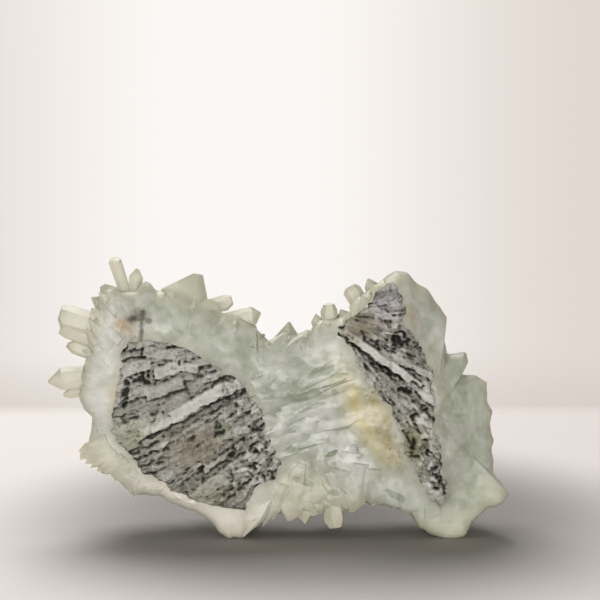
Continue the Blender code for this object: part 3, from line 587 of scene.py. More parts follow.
# The points over the back: rings of large ones as (share of the way to the rim, spacing, height above the
# body), and small ones between them as how many, shares, lengths, widths, how far their directions wander,
# how far they lean outwards, and a seed.
BACK_DRUSE = [(0.94, 12.6, 6.0), (0.71, 14.0, 9.5), (0.47, 14.5, 11.0), (0.22, 15.5, 12.0)]
BACK_FILL = [
    (460, (0, 0.84), (1.6, 5), (1.8, 4), 0.4, 1, 71), (360, (0, 0.84), (4, 9), (3.6, 7), 0.4, 1, 73),
    (190, (0.9, 0.975), (2, 6), (2, 4.6), 0.25, 0.3, 75),
]
CREST_SLOPE = 0.14  # the back's points stay below this slope back from the rim
CREST_SHARE = 0.95  # and inside this share of the way to it
RIM_LIMIT = 0.985  # share that their corners are drawn in to
BACK_LIMIT = 36.0  # their tips stay before this y
GROUND_GAP = 2.0  # and the large ones' this high: only the feet stand on the ground
SMALL_GROUND_GAP = 0.6
LEAST_LENGTH = 1.5


def held_back(tip, seat, least_height):
    """Shortens the points that would show above the rim, bit by bit, and keeps them off the ground."""
    for _ in range(12):
        high = rim_share(tip[:, 0], tip[:, 2] + CREST_SLOPE * tip[:, 1]) > CREST_SHARE
        high |= tip[:, 1] > BACK_LIMIT
        high &= np.linalg.norm(tip - seat, axis=1) > LEAST_LENGTH
        tip = np.where(high[:, None], seat + (tip - seat) * 0.85, tip)
    return np.stack([tip[:, 0], tip[:, 1], np.maximum(tip[:, 2], least_height)], axis=1)


DRUSE_WIDTH = (5.0, 14.6)  # widths of the large points of the back
DRUSE_ROOT = 6.0  # how deep they are rooted
SMALL_ROOT = 2.5  # the same for the small ones
RIM_THINNING = 0.45  # how much narrower the ones at the rim are


def aims(heading, share):
    """The way that points of the back lean: straight back in the middle, and mostly outwards at the rim."""
    lean = 0.1 + 0.75 * share
    return np.stack([heading[:, 0] * lean, 1.05 - 0.45 * share, heading[:, 1] * lean], axis=1)


def seats(start, heading, share):
    """Where spokes meet the back at their shares of the way to the rim."""
    at = start + heading * (reach_of(RIM, start, heading) * share)[:, None]
    return np.stack([at[:, 0], back_y(at[:, 0], at[:, 1], share), at[:, 1]], axis=1)


def large_back_points():
    """The large points of the back, in rings, each thrown from one dice in turn."""
    dice = random.Random(SEED + 3)
    round_rim = np.linalg.norm(np.roll(RIM, -1, axis=0) - RIM, axis=1).sum()
    spine = SPINE_RIGHT[0] - SPINE_LEFT[0]
    starts, headings = spokes(10, 10)
    rows = []
    for share, spacing, height in BACK_DRUSE:
        count = round((share * round_rim + (1 - share) * 2 * spine) / spacing)
        for i in range(count):
            k = [int((i + dice.uniform(0.25, 0.75)) / count * len(starts))]
            out = np.array([min(0.96, share * dice.uniform(0.93, 1.05))])
            seat = seats(starts[k], headings[k], out)
            aim = aims(headings[k], np.array([share])) + [dice.uniform(-0.2, 0.2) for _ in range(3)]
            aim = aim / np.linalg.norm(aim)
            tip = held_back(seat + aim * height * dice.uniform(0.65, 1.25), seat, GROUND_GAP)
            width = dice.uniform(*DRUSE_WIDTH) * (1 - RIM_THINNING * share**4)
            rows.append((tip[0], (seat - aim * DRUSE_ROOT)[0], width, 0, thrown(dice, width)))
    return listed_points(rows)


def small_back_points(count, shares, lengths, widths, wander, outwards, seed):
    """Smaller points between the large ones, spread evenly over the back: in the square of the share round
    the ends, where the spokes spread, and in the share itself between them."""
    dice = np.random.default_rng(seed)
    starts, headings = spokes(*SPOKES)
    k = dice.integers(0, len(starts), count)
    power = np.where(headings[k, 0] == 0, 1.0, 2.0)
    share = dice.uniform(shares[0] ** power, shares[1] ** power) ** (1 / power)
    seat = seats(starts[k], headings[k], share)
    aim = aims(headings[k], share) * [outwards, 1.0, outwards] + uneven(dice, count, wander)
    aim = aim / np.linalg.norm(aim, axis=1)[:, None]
    tip = held_back(seat + aim * dice.uniform(*lengths, count)[:, None], seat, SMALL_GROUND_GAP)
    width = dice.uniform(*widths, count)
    return family(
        tip, seat - aim * SMALL_ROOT, width, uneven(dice, count, LEAN) * width[:, None],
        dice.uniform(0.75, 1.0, count), dice.uniform(0, math.pi / 3, count), np.full(count, TIP_SLOPE),
    )


POCKET_FRONT = -34.0  # y in front of everything, where a pocket's cutter starts
ROCK_WAIST = -3.0  # y behind which the rock narrows towards its back
ROCK_TAPER = 0.78  # size of that back against the window
CONTACT_STEP = 0.4  # spacing of the points round the broken line between quartz and rock


def ragged(chain, seed):
    """A side of an outline from top to bottom, drawn finely and roughened across its own direction.

    The roughness fades out at both ends and where the side runs level, so that it never turns upwards.
    """
    along = np.append(0.0, np.cumsum(np.linalg.norm(np.diff(chain, axis=0), axis=1)))
    steps = np.linspace(0, along[-1], round(along[-1] / CONTACT_STEP))
    points = np.stack([np.interp(steps, along, chain[:, k]) for k in (0, 1)], axis=1)
    way = np.gradient(points, axis=0)
    across = np.stack([way[:, 1], -way[:, 0]], axis=1) / np.linalg.norm(way, axis=1)[:, None]
    rough = noises(points, seed, (0.8, 4.2), (0.7, 1.9), (0.5, 0.9))
    steep = np.abs(way[:, 1]) / np.linalg.norm(way, axis=1)
    held = np.minimum(1, np.minimum(steps, along[-1] - steps) / 2.0) * np.clip(steep * 1.7, 0.12, 1.0)
    points = points + across * (rough * held)[:, None]
    points[:, 1] = np.minimum.accumulate(points[:, 1]) - np.arange(len(points)) * 1e-4
    return points


def contact(outline, seed):
    """The broken line round a window as its right and its left side, each from top to bottom."""
    top, bottom = outline[:, 1].argmax(), outline[:, 1].argmin()
    clockwise = np.roll(outline, -top, axis=0)
    turn = (bottom - top) % len(outline)
    right = ragged(clockwise[:turn + 1], seed)
    left = ragged(np.concatenate([clockwise[turn:], clockwise[:1]])[::-1], seed + 5)
    left[[0, -1]] = right[[0, -1]]
    return right, left


def tapered(points, outline, share):
    """Places on a window's outline, drawn in towards its middle by a share of the rock's taper."""
    centre = outline.mean(axis=0)
    return centre + (points - centre) * (1 - (1 - ROCK_TAPER) * share)


def pocket(name, outline, seed):
    """A plug of the shape that a piece of rock takes out of the quartz: a straight neck, then a taper."""
    right, left = contact(outline, seed)
    ring = np.concatenate([right, left[-2:0:-1]])
    rows = [(POCKET_FRONT, 0.0), (ROCK_WAIST, 0.0), (ROCK_BACK, 1.0)]
    verts = np.concatenate([np.insert(tapered(ring, outline, share), 1, y, axis=1) for y, share in rows])
    ends = [list(range(len(ring))), list(range(len(verts) - len(ring), len(verts)))]
    return mesh_object(name, verts, grid_faces(3, len(ring)) + ends)


def block(name, low, high):
    """A plain block between two corners, for cutting."""
    corners = np.array([[x, y, z] for x in (0, 1) for y in (0, 1) for z in (0, 1)])
    verts = np.array(low) + corners * (np.array(high) - np.array(low))
    sides = [[0, 1, 3, 2], [4, 6, 7, 5], [0, 4, 5, 1], [2, 3, 7, 6], [0, 2, 6, 4], [1, 5, 7, 3]]
    return mesh_object(name, verts, sides)


def joined(mesh_name, start, steps):
    """The mesh of an object after each step's Boolean with all of its operands at once."""
    for operation, operands in steps:
        group = bpy.data.collections.new(operation)
        bpy.context.scene.collection.children.link(group)
        for operand in operands:
            bpy.context.scene.collection.objects.unlink(operand)
            group.objects.link(operand)
        cut = start.modifiers.new(operation, "BOOLEAN")
        cut.operation, cut.solver = operation, "MANIFOLD"
        cut.operand_type, cut.collection = "COLLECTION", group
    mesh = bpy.data.meshes.new_from_object(start.evaluated_get(bpy.context.evaluated_depsgraph_get()))
    mesh.name = mesh_name
    for helper in [start] + [operand for _, operands in steps for operand in operands]:
        bpy.data.meshes.remove(helper.data)
    for operation, _ in steps:
        bpy.data.collections.remove(bpy.data.collections[operation])
    return mesh


def largest_piece(mesh):
    """Removes every part of the mesh that isn't joined to its largest one.

    Each vertex takes the lowest number among its neighbours, again and again, until each part has one.
    """
    ends = np.empty(len(mesh.edges) * 2, dtype=np.int64)
    mesh.edges.foreach_get("vertices", ends)
    first, second = ends.reshape(-1, 2).T
    label = np.arange(len(mesh.vertices))
    while True:
        lowest = label.copy()
        np.minimum.at(lowest, first, label[second])
        np.minimum.at(lowest, second, label[first])
        lowest = lowest[lowest]
        if np.array_equal(lowest, label):
            break
        label = lowest
    values, counts = np.unique(label, return_counts=True)
    lost = np.flatnonzero(label != values[counts.argmax()])
    bm = bmesh.new()
    bm.from_mesh(mesh)
    bm.verts.ensure_lookup_table()
    bmesh.ops.delete(bm, geom=[bm.verts[i] for i in lost], context="VERTS")
    bmesh.ops.triangulate(bm, faces=[face for face in bm.faces if len(face.verts) > 4])
    bm.to_mesh(mesh)
    bm.free()


def places(mesh):
    """The positions of a mesh's vertices, as an array."""
    flat = np.empty(len(mesh.vertices) * 3, dtype=np.float32)
    mesh.vertices.foreach_get("co", flat)
    return flat.reshape(-1, 3).astype(float)


def settle(mesh, sharp):
    """Moves a mesh from the layout's millimetres onto the frame, and shades it smooth up to an angle."""
    mesh.vertices.foreach_set("co", np.float32((places(mesh) + FRAME_SHIFT) * MM).ravel())
    mesh.shade_smooth()
    mesh.set_sharp_from_angle(angle=math.radians(sharp))
    mesh.update()


def piece_from(mesh, node, finish):
    """The piece that stands for a node of the frame, with its finish."""
    made = placed(mesh.name, mesh)
    mesh.materials.clear()
    mesh.materials.append(finish)
    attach(made, "root")
    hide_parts(node)
    return made


def reach_to(line, x, z):
    """Distance from each place to the nearest point of a finely drawn line, worked out row by row of it."""
    nearest = np.full(x.shape, FAR)
    for px, pz in line:
        nearest = np.minimum(nearest, (x - px) ** 2 + (z - pz) ** 2)
    return np.sqrt(nearest)


def together(families):
    """Families of points as one."""
    return {key: np.concatenate([family[key] for family in families]) for key in families[0]}


def inside_rim(verts):
    """Draws in what would show over the rim behind it: places at the back move towards the spine."""
    seen = verts[..., 2] + CREST_SLOPE * verts[..., 1]
    start = spine_at(verts[..., 0].ravel()).reshape(*verts.shape[:2], 2)
    share = rim_share(verts[..., 0].ravel(), seen.ravel()).reshape(verts.shape[:2])
    over = np.maximum(share, RIM_LIMIT)
    drawn = verts.copy()
    drawn[..., 0] = start[..., 0] + (verts[..., 0] - start[..., 0]) * RIM_LIMIT / over
    drawn[..., 2] = start[..., 1] + (seen - start[..., 1]) * RIM_LIMIT / over - CREST_SLOPE * verts[..., 1]
    return drawn


POCKETS = [("left_pocket", LEFT_WINDOW, LEFT_SEED), ("right_pocket", RIGHT_WINDOW, RIGHT_SEED)]
CONTACT_FADE = 1.7  # over which the tint of the rock fades out in the quartz
THIN_RIM = (0.86, 0.16)  # share of the way to the rim where the mass gets thin, and over how much
THIN_HEIGHT = 9.0  # height over the body where a point of the back is all thin
QUARTZ_EDGE, ROCK_EDGE = 42, 50  # degrees past which an edge is sharp


def quartz_mesh():
    """The body with every point grown onto it, cut by the two pockets and by the ground.

    It stores how thin each place is, which grows to 1 over the rim and up the back's points, and how near
    the rock, which falls off from the broken line by an exponential curve.
    """
    families = [rim_points(), comb(), front_plates()]
    families += [fan(*row, seed=100 + 2 * k) for k, row in enumerate(FANS)]
    families.append(sugar((19, 23), (5, 6), 18, (2.2, 4.4), (0.1, 0.6), seed=200))
    behind = [large_back_points()] + [small_back_points(*row) for row in BACK_FILL]
    verts = np.concatenate([crystal_verts(seed=5, **together(families)),
                            inside_rim(crystal_verts(seed=6, **together(behind)))])
    points = [mesh_object("points", verts[chosen].reshape(-1, 3), crystal_faces(len(chosen)))
              for chosen in apart(verts)]
    cutters = [pocket(*row) for row in POCKETS] + [block("ground", (-90, -60, -30), (90, 60, 0))]
    mesh = joined("quartz_cluster_grown", quartz_body(), [("UNION", points), ("DIFFERENCE", cutters)])
    largest_piece(mesh)
    at = places(mesh)
    share = rim_share(at[:, 0], at[:, 2])
    proud = np.where(at[:, 1] > 0, at[:, 1] - back_y(at[:, 0], at[:, 2], share), 0.0)
    thin = np.clip((share - THIN_RIM[0]) / THIN_RIM[1], 0, 1) + np.clip(proud / THIN_HEIGHT, 0, 1)
    broken = np.concatenate([side for _, outline, seed in POCKETS for side in contact(outline, seed)])
    near = np.exp(-reach_to(broken, at[:, 0], at[:, 2]) / CONTACT_FADE) * (at[:, 1] < 0)
    store(mesh, thin=np.clip(thin, 0, 1), near=near)
    settle(mesh, QUARTZ_EDGE)
    return mesh


SKIN_Y = -8.0  # mean y of the quartz's front, where its tints are centred
STREAK_DEPTH = 22.0  # how deep a drawn-out tint reaches from there


class Wire:
    """A node's output in a material. Arithmetic on wires and numbers adds Math nodes."""

    def __init__(self, tree, socket):
        self.tree, self.socket = tree, socket

    def node(self, kind, settings, sockets, output=0):
        """Adds a node, sets its properties and ramp stops, then its sockets, and returns one output."""
        made = self.tree.nodes.new(kind)
        for key, value in settings.items():
            if key == "stops":
                ramp = made.color_ramp
                while len(ramp.elements) < len(value):
                    ramp.elements.new(0.5)
                for element, (position, colour) in zip(ramp.elements, value):
                    element.position, element.color = position, colour
            else:
                setattr(made, key, value)
        for key, value in sockets.items():
            if isinstance(value, Wire):
                self.tree.links.new(value.socket, made.inputs[key])
            else:
                made.inputs[key].default_value = value
        return Wire(self.tree, made.outputs[output])

    def maths(self, operation, *others, clamp=False):
        """A Math node on this wire and any others."""
        return self.node("ShaderNodeMath", dict(operation=operation, use_clamp=clamp),
                         dict(enumerate((self, *others))))

    def __add__(self, other):
        return self.maths("ADD", other)

    def __sub__(self, other):
        return self.maths("SUBTRACT", other)

    def __rsub__(self, other):
        return self * -1.0 + other

    def __mul__(self, other):
        return self.maths("MULTIPLY", other)

    __radd__ = __add__
    __rmul__ = __mul__

    def clamped(self):
        return self.maths("ADD", 0.0, clamp=True)

    def between(self, low, high):
        """0 up to the low value and 1 from the high one, with a smooth rise between."""
        return self.node("ShaderNodeMapRange", dict(interpolation_type="SMOOTHSTEP"),
                         {"Value": self, "From Min": low, "From Max": high})

    def vector(self, operation, other, output=0):
        return self.node("ShaderNodeVectorMath", dict(operation=operation), {0: self, 1: other}, output)

    def part(self, axis):
        """The X, Y or Z of a vector."""
        return self.node("ShaderNodeSeparateXYZ", {}, {0: self}, axis)

    def stored(self, name):
        """What the mesh stores under a name."""
        return self.node("ShaderNodeAttribute", dict(attribute_name=name), {}, "Fac")

    def bump(self, strength, distance):
        """A normal from this height, with the distance in millimetres."""
        return self.node("ShaderNodeBump", {}, {
            "Strength": strength, "Distance": distance * MM, "Height": self})

    def bell(self):
        """The bell curve of a squared distance."""
        return (self * -1.0).maths("EXPONENT").clamped()

    def noise(self, size, detail=3.0, rough=0.55, stretch=None, shift=0.0):
        """Noise of features of about a size in millimetres, read at these coordinates, from 0 to 1."""
        at = self.vector("MULTIPLY", stretch) if stretch else self
        at = at.vector("ADD", (shift, shift, shift)) if shift else at
        return self.node("ShaderNodeTexNoise", {}, {
            "Vector": at, "Scale": 1 / (size * MM), "Detail": detail, "Roughness": rough})

    def spot(self, centre, radii, warp=None):
        """A soft oval spot at (x, y, z) of the layout: a bell curve of the distance measured in radii."""
        away = self.vector("SUBTRACT", tuple((np.array(centre) + FRAME_SHIFT) * MM))
        away = away.vector("MULTIPLY", tuple(1 / (np.array(radii) * MM)))
        squared = away.vector("DOT_PRODUCT", away, output=1)
        return (squared if warp is None else squared + warp).bell()

    def streak(self, centre, half, narrow, tilt, warp=0.0):
        """A soft spot drawn out along a line in the front's plane, which rises by the tilt in degrees."""
        away = self.vector("SUBTRACT", tuple((np.array([centre[0], SKIN_Y, centre[1]]) + FRAME_SHIFT) * MM))
        c, s = math.cos(math.radians(tilt)), math.sin(math.radians(tilt))
        along = away.vector("DOT_PRODUCT", (c / (half * MM), 0.0, s / (half * MM)), output=1)
        across = away.vector("DOT_PRODUCT", (-s / (narrow * MM), 0.0, c / (narrow * MM)), output=1)
        depth = away.vector("DOT_PRODUCT", (0.0, 1 / (STREAK_DEPTH * MM), 0.0), output=1)
        return (along * along + across * across + depth * depth + warp).bell()


def laid(colour, *rows):
    """A colour with tints laid over it in turn, each by its own share."""
    for share, *tint in rows:
        colour = mix(share, colour, srgb(*tint))
    return colour


def mix(share, low, high):
    """A colour between two, by a share from 0 to 1."""
    return share.node("ShaderNodeMix", dict(data_type="RGBA"), {0: share, 6: low, 7: high}, 2)


def srgb(red, green, blue):
    """A colour from its screen values, 0 to 255, as the shader's linear ones."""
    screen = np.array([red, green, blue]) / 255
    linear = np.where(screen <= 0.04045, screen / 12.92, ((screen + 0.055) / 1.055) ** 2.4)
    return (*linear.tolist(), 1.0)


def new_material(name):
    """An empty material with its output, and a wire for its Object coordinates."""
    made = bpy.data.materials.new(name)
    made.use_nodes = True
    nodes = made.node_tree.nodes
    nodes.clear()
    coordinates = nodes.new("ShaderNodeTexCoord")
    return made, nodes.new("ShaderNodeOutputMaterial"), Wire(made.node_tree, coordinates.outputs["Object"])


def tinted(colour, at, rows, y, deep, warp=None):
    """A colour under a soft oval of each row's own: x, z, half-width, half-height, tint and strength."""
    for x, z, wide, tall, *tint, strength in rows:
        colour = laid(colour, (at.spot((x, y, z), (wide, deep, tall), warp) * strength, *tint))
    return colour


QUARTZ_IOR = 1.544
MILK_BODY = 0.74  # share of milky scattering in the body, against clear transmission
MILK_THIN = 0.36  # the same at the thin rim and the tips

# Colours of the front as a middle x, z, half-width, half-height, red, green, blue and strength. The pale ones
# at the feet and along the lower-left rind are painted light, standing in for light from below, and the
# darker one over the right rind is partly its own olive colour and partly painted shade.
QUARTZ_ZONES = [
    (-52, 50, 9, 24, 226, 224, 220, 0.85), (-51, 22, 7, 6, 232, 226, 190, 0.9),
    (-23, 62, 15, 10, 172, 178, 158, 0.8), (-5, 52, 8, 6, 184, 188, 172, 0.6),
    (17, 58, 8, 7, 188, 190, 180, 0.8), (2, 43, 11, 7, 150, 157, 137, 0.85),
    (13, 36.8, 5, 3, 212, 212, 209, 0.7), (3, 32, 9, 5, 186, 187, 180, 0.7),
    (20, 23.5, 5, 6, 224, 222, 224, 0.9), (8, 15, 16, 9, 208, 206, 180, 0.85),
    (-15, 4, 14, 7, 250, 242, 226, 1), (36, 12, 8, 8, 218, 224, 212, 0.9),
    (52, 36, 8, 16, 152, 158, 137, 0.85), (56, 14, 9, 12, 180, 188, 162, 0.85),
    (48, 4, 10, 6, 232, 236, 208, 1), (-34, 13, 12, 5, 238, 230, 212, 0.95),
    (-43, 20, 7, 6, 222, 217, 200, 0.8), (62, 12, 5, 5, 226, 228, 200, 0.8),
    (42, 66, 7, 9, 186, 190, 176, 0.7), (22, 45.5, 3.5, 4.5, 220, 220, 218, 0.8),
]
# Tints of the rim's thin crystals, in the same columns. The first, pale one along the lower rim is painted
# light, as that downward-facing rim lies in shade.
RIM_TINTS_AND_PAINTED_LIGHT = [
    (-30, 11, 24, 8, 250, 244, 230, 0.85), (-63, 57, 9, 20, 196, 190, 164, 0.7),
    (2, 57.5, 10, 5, 166, 170, 152, 0.6),
]
# Iron stains along the right rock: middle x, z, half-length, half-width, tilt in degrees, colour, strength.
STAINS = [
    (23.6, 37, 14, 4.8, -62, 205, 194, 138, 1), (28.6, 34, 11, 3.2, -64, 150, 138, 88, 1),
    (20.8, 42, 5.5, 2, -80, 206, 192, 118, 0.8), (31, 25.6, 4, 2.4, -60, 200, 184, 134, 0.8),
    (26, 30, 6, 1.6, -62, 210, 196, 128, 0.7), (27.8, 38, 4.5, 3, -62, 190, 178, 122, 0.8),
]
# Painted shade of facets seen edge on inside the comb: middle x, z, half-length, half-width, tilt and
# strength.
PAINTED_FACET_SHADE = [
    (2.7, 44.8, 4.6, 1.7, 18, 0.5), (11.6, 48.9, 4.4, 1.6, 22, 0.85), (8.3, 42.2, 3.8, 1.4, 20, 0.7),
    (9.8, 39, 5, 0.8, 20, 0.8), (7.4, 27.6, 4.8, 1.4, 12, 0.6), (14.6, 25.1, 2.4, 0.9, 26, 1),
    (16.2, 42.4, 1.8, 0.9, -40, 0.6), (-6, 48, 4, 1.2, 60, 0.3), (33, 13, 3, 1.4, -30, 0.5),
    (6.6, 17.4, 3.6, 1, -25, 0.4), (15.6, 14, 2.2, 1, -30, 0.45),
]
# Rock and iron grains seen through the quartz, in the same columns, and whether they break up into specks.
INCLUSIONS = [
    (-41.6, 61, 4.2, 5, 150, 141, 122, 0.85, False), (-44.2, 61.4, 1.8, 2.2, 166, 146, 112, 0.8, False),
    (-40.6, 61.6, 3.6, 5.2, 88, 80, 66, 0.8, True), (-39, 65.6, 1.8, 1.3, 52, 49, 41, 1, False),
    (-41.2, 63.8, 1.7, 1.2, 58, 54, 45, 1, False), (-38.8, 60.2, 0.6, 3, 52, 48, 39, 1, False),
    (-36.6, 63.2, 1.1, 0.7, 84, 79, 66, 0.8, False), (-46, 42, 2.2, 5.6, 190, 178, 142, 0.7, False),
    (25, 43, 1.8, 4.6, 84, 78, 50, 0.9, True), (33, 26, 2.6, 4, 110, 108, 66, 0.8, True),
    (35, 58, 3, 4, 146, 134, 112, 0.6, False), (44.4, 50, 2.4, 6, 160, 152, 132, 0.5, False),
    (36.6, 66.6, 2.4, 2.4, 176, 160, 136, 0.5, False), (48, 40, 2.8, 3, 150, 144, 126, 0.4, True),
    (46.2, 30, 1.6, 7, 140, 136, 124, 0.6, False), (48.2, 18, 1.4, 6, 148, 146, 134, 0.55, False),
    (45.4, 42, 1.6, 6, 146, 138, 122, 0.5, False), (37.8, 63.6, 1.8, 3, 150, 140, 118, 0.55, False),
]


def quartz_material():
    """Clear quartz seen through a frosted, milky skin, with the stains and clouds of the real mass, and with
    painted light and shade in a few places.
    """
    made, out, at = new_material("clear_quartz_frosted")
    thin, near = at.stored("thin"), at.stored("near")
    cloud = at.noise(12.0, 5.0, 0.62)
    mottle = at.noise(3.6, 5.0, 0.62, shift=0.3)
    warp = (at.noise(6.0, 3.0, 0.6, shift=0.7) - 0.5) * 2.0
    veil = 1.0 - ((at.noise(7.0, 4.0, 0.6, shift=1.7) - 0.5) * 9.0).maths("ABSOLUTE").clamped()

    colour = mix(cloud.between(0.34, 0.66), srgb(156, 163, 143), srgb(200, 202, 191))
    # The front's zones of colour, among them painted light at the feet and the lower-left rind and partly
    # painted shade over the right rind.
    colour = tinted(colour, at, QUARTZ_ZONES, SKIN_Y, 24.0, warp)
    for x, z, half, narrow, tilt, *tint, strength in STAINS:
        colour = laid(colour, (at.streak((x, z), half, narrow, tilt, warp * 0.6) * strength, *tint))
    level = at.node("ShaderNodeVectorRotate", dict(rotation_type="Y_AXIS"), {
        "Vector": at, "Angle": math.radians(COMB_TILT)})
    fibres = level.noise(2.4, 4.0, 0.6, stretch=(0.22, 1.0, 1.0))
    combed = at.spot((5.0, SKIN_Y, 38.5), (13.0, 30.0, 11.0), warp * 0.5)
    colour = laid(colour, ((fibres.between(0.52, 0.64) * combed) * 0.5, 226, 226, 222),
                  (((1.0 - fibres.between(0.38, 0.48)) * combed) * 0.6, 134, 142, 122))
    edge = (fibres - 0.5) * 3.0 + (mottle - 0.5) * 2.0
    # Painted shade along facets seen edge on.
    facets = [at.streak((x, z), half, narrow, tilt, edge).between(0.32, 0.56) * strength
              for x, z, half, narrow, tilt, strength in PAINTED_FACET_SHADE]
    dark = facets[0]
    for facet in facets[1:]:
        dark = dark.maths("MAXIMUM", facet)
    haze = (near * (0.3 + cloud * 0.9)).clamped()
    colour = laid(
        colour, ((mottle - 0.5).maths("MULTIPLY", 2.6, clamp=True) * 0.4, 226, 225, 219),
        ((0.5 - mottle).maths("MULTIPLY", 2.6, clamp=True) * 0.35, 140, 147, 126),
        (veil * 0.3, 232, 231, 226), (dark, 122, 130, 106), (haze * 0.8, 146, 141, 126),
        ((thin * (0.25 + mottle * 0.9)).clamped(), 220, 213, 182))
    # The rim's tints, the first of them painted light along the lower rim.
    colour = tinted(colour, at, RIM_TINTS_AND_PAINTED_LIGHT, -4.0, 24.0)
    specks = at.noise(1.5, 4.0, 0.65, shift=0.5).between(0.5, 0.66)
    sunk = haze * 0.6
    torn = warp * 0.6 + (mottle - 0.5) * 3.6
    for x, z, wide, tall, *tint, strength, gritty in INCLUSIONS:
        seen = at.spot((x, SKIN_Y, z), (wide, 30.0, tall), torn) * strength
        seen = seen * specks if gritty else seen
        colour = laid(colour, (seen, *tint))
        sunk = sunk.maths("MAXIMUM", seen)

    relief = at.noise(0.8, 4.0, 0.6) * 0.5 + at.noise(3.0, 4.0, 0.55, shift=0.2) * 0.9
    rough = 0.2 + mottle * 0.24 + thin * 0.16
    both = {"Roughness": rough, "IOR": QUARTZ_IOR, "Normal": relief.bump(0.4, 0.45)}
    clear = at.node("ShaderNodeBsdfPrincipled", {}, {
        "Base Color": (1.0, 1.0, 1.0, 1.0), "Transmission Weight": 1.0, **both})
    milky = at.node("ShaderNodeBsdfPrincipled", {}, {"Base Color": colour, **both})
    milk = MILK_BODY + thin * (MILK_THIN - MILK_BODY) + (cloud - 0.5) * 0.5 + veil * 0.1
    # The lowest 24 mm are made milkier and so paler: painted light standing in for light from below.
    low = 1.0 - at.part("Z").between(0.004, 0.024)
    milk = milk + dark.maths("MAXIMUM", sunk) * 0.6 + low * 0.3
    skin = at.node("ShaderNodeMixShader", {}, {0: milk.clamped(), 1: clear, 2: milky})
    body = at.node("ShaderNodeVolumeAbsorption", {}, {"Color": (0.80, 0.87, 0.75, 1.0), "Density": 48.0})
    made.node_tree.links.new(skin.socket, out.inputs["Surface"])
    made.node_tree.links.new(body.socket, out.inputs["Volume"])
    return made


piece_from(quartz_mesh(), "quartz_cluster", quartz_material())

# ------------------------------------------------------------------------------
# The two pieces of host rock. The real ones are layered grey rock that the quartz grew round, open only
# where the mass was broken: their layers spread like a fan there, cracked across into blocks, with pits.
# ------------------------------------------------------------------------------

# The fans: centre (x, z), bearings of the main seams in degrees and how proud each layer between them stands,
# thickness of the finer layers, and the calm ovals as centre, half-widths and tilt. Bearings wrap at one.
LEFT_FAN = dict(
    centre=(57.0, 79.0), wrap=0.0,
    angles=(190, 195, 199.6, 201.4, 204.2, 207, 208.4, 212.4, 216, 218.2, 222, 226, 232),
    stands=(0.1, 0.9, 0.2, -0.4, 1.3, -1.2, 0, 0.4, -0.8, 0.6, -0.2, 0.4), layer=2.5, seed=LEFT_SEED,
    calm=[((-24, 28), 10, 6.5, 0.5), ((-30, 43), 9, 6, 0.5)],
)
RIGHT_FAN = dict(
    centre=(12.0, 64.0), wrap=-180.0, angles=(-84, -66, -59, -54.5, -50, -42, -38, -32, -26, -14, 4, 34),
    stands=(0.2, 0.6, 1, -0.6, 0.2, -1.4, 1.3, 0.4, -0.3, 0.6, 0.8), layer=2.3, seed=RIGHT_SEED,
    calm=[((23, 62.5), 6, 3, -0.2), ((38.6, 31), 3, 3.4, 0), ((40, 21), 2.4, 4, 0.3)],
)
# Hollows as centre (x, z), half-width, half-height, depth and tilt.
LEFT_HOLLOWS = [
    ((-38.4, 47.3), 3.6, 1.3, 3.6, 0.1), ((-43.6, 43.4), 1.6, 4.4, 3.2, -0.15),
    ((-43.4, 55.2), 1.4, 1.2, 2.4, 0), ((-30.2, 56.2), 1.8, 0.7, 2, 0.2), ((-14.6, 42.6), 1.2, 1, 2.2, 0.3),
    ((-17.2, 34), 2.6, 1.8, 1.8, 0.3), ((-13.4, 25.6), 2.4, 0.9, 2.2, 0.3), ((-6.2, 26.4), 2, 1.6, 2.4, 0),
    ((-21.6, 22), 2.4, 0.9, 2, 0.6), ((-33, 24), 1.8, 0.8, 2, 0.6), ((-3.4, 19.6), 1.4, 1.4, 2, 0),
    ((-7.4, 22.4), 1.5, 1, 2.4, 0.4),
]
RIGHT_HOLLOWS = [
    ((33.6, 58.8), 2.2, 2.4, 4, 0.3), ((29.4, 50), 4.2, 0.9, 3.4, -0.45),
    ((35.9, 43.4), 1.9, 1.7, 4.4, -0.2), ((38.8, 45.2), 3, 0.7, 3, -0.65), ((24.2, 59.1), 1.6, 0.6, 2, -0.4),
    ((27.2, 57.2), 1.6, 0.9, 2.4, -0.5), ((40.4, 38.6), 1.3, 1, 2.6, 0.4), ((39, 36.6), 1.2, 0.8, 2.4, 0),
    ((37.6, 28.8), 0.9, 1.6, 2.6, 0), ((38, 25), 1.2, 1, 2.6, 0), ((42.2, 26.4), 1, 1.4, 2.6, 0),
    ((43.9, 21.8), 1, 0.9, 2.6, 0), ((44.6, 18.8), 0.8, 1.5, 2.8, 0), ((44, 16), 1, 0.8, 2.8, 0),
]
# Slabs as the two ends (x, z) of the middle line, half the thickness, rise, and how much lighter they are.
LEFT_SLABS = [
    ((-46.5, 30), (-35.8, 37.2), 1.7, 0.5, 0.02), ((-43.4, 27.2), (-39.4, 29.4), 1.3, 0.9, 0),
    ((-44.4, 49.2), (-35.8, 51.6), 1.7, 0.9, 0.1), ((-35.2, 48.7), (-28, 50.7), 1.8, 1.5, 0.16),
    ((-38.4, 54.9), (-28.6, 53.8), 1.5, 0.6, 0.04), ((-28, 50.9), (-22.6, 50), 1.3, 1.1, 0.14),
    ((-37.5, 42.7), (-26.6, 46.6), 1.8, 0.7, 0.04), ((-32.7, 38.7), (-25.6, 43.2), 1.7, 0.3, 0),
    ((-40.3, 30.5), (-30.2, 36.7), 1.35, 1.3, 0.16), ((-30.3, 36.6), (-15.3, 44.9), 1.75, 1.5, 0.24),
    ((-21.4, 21.1), (-12.9, 27.4), 1, 1, 0.1), ((-22.6, 14.4), (-14.2, 20.5), 2, 0.8, 0.1),
    ((-13.4, 21.6), (-8.3, 22.3), 1.4, 1.4, 0.2), ((-7.9, 17.8), (-4.4, 18.5), 1.2, 1.2, 0.2),
    ((-35, 24.2), (-27, 28.8), 1.3, 0.3, -0.02), ((-11.4, 17.6), (-8.2, 19.8), 0.9, 0.9, 0.12),
]
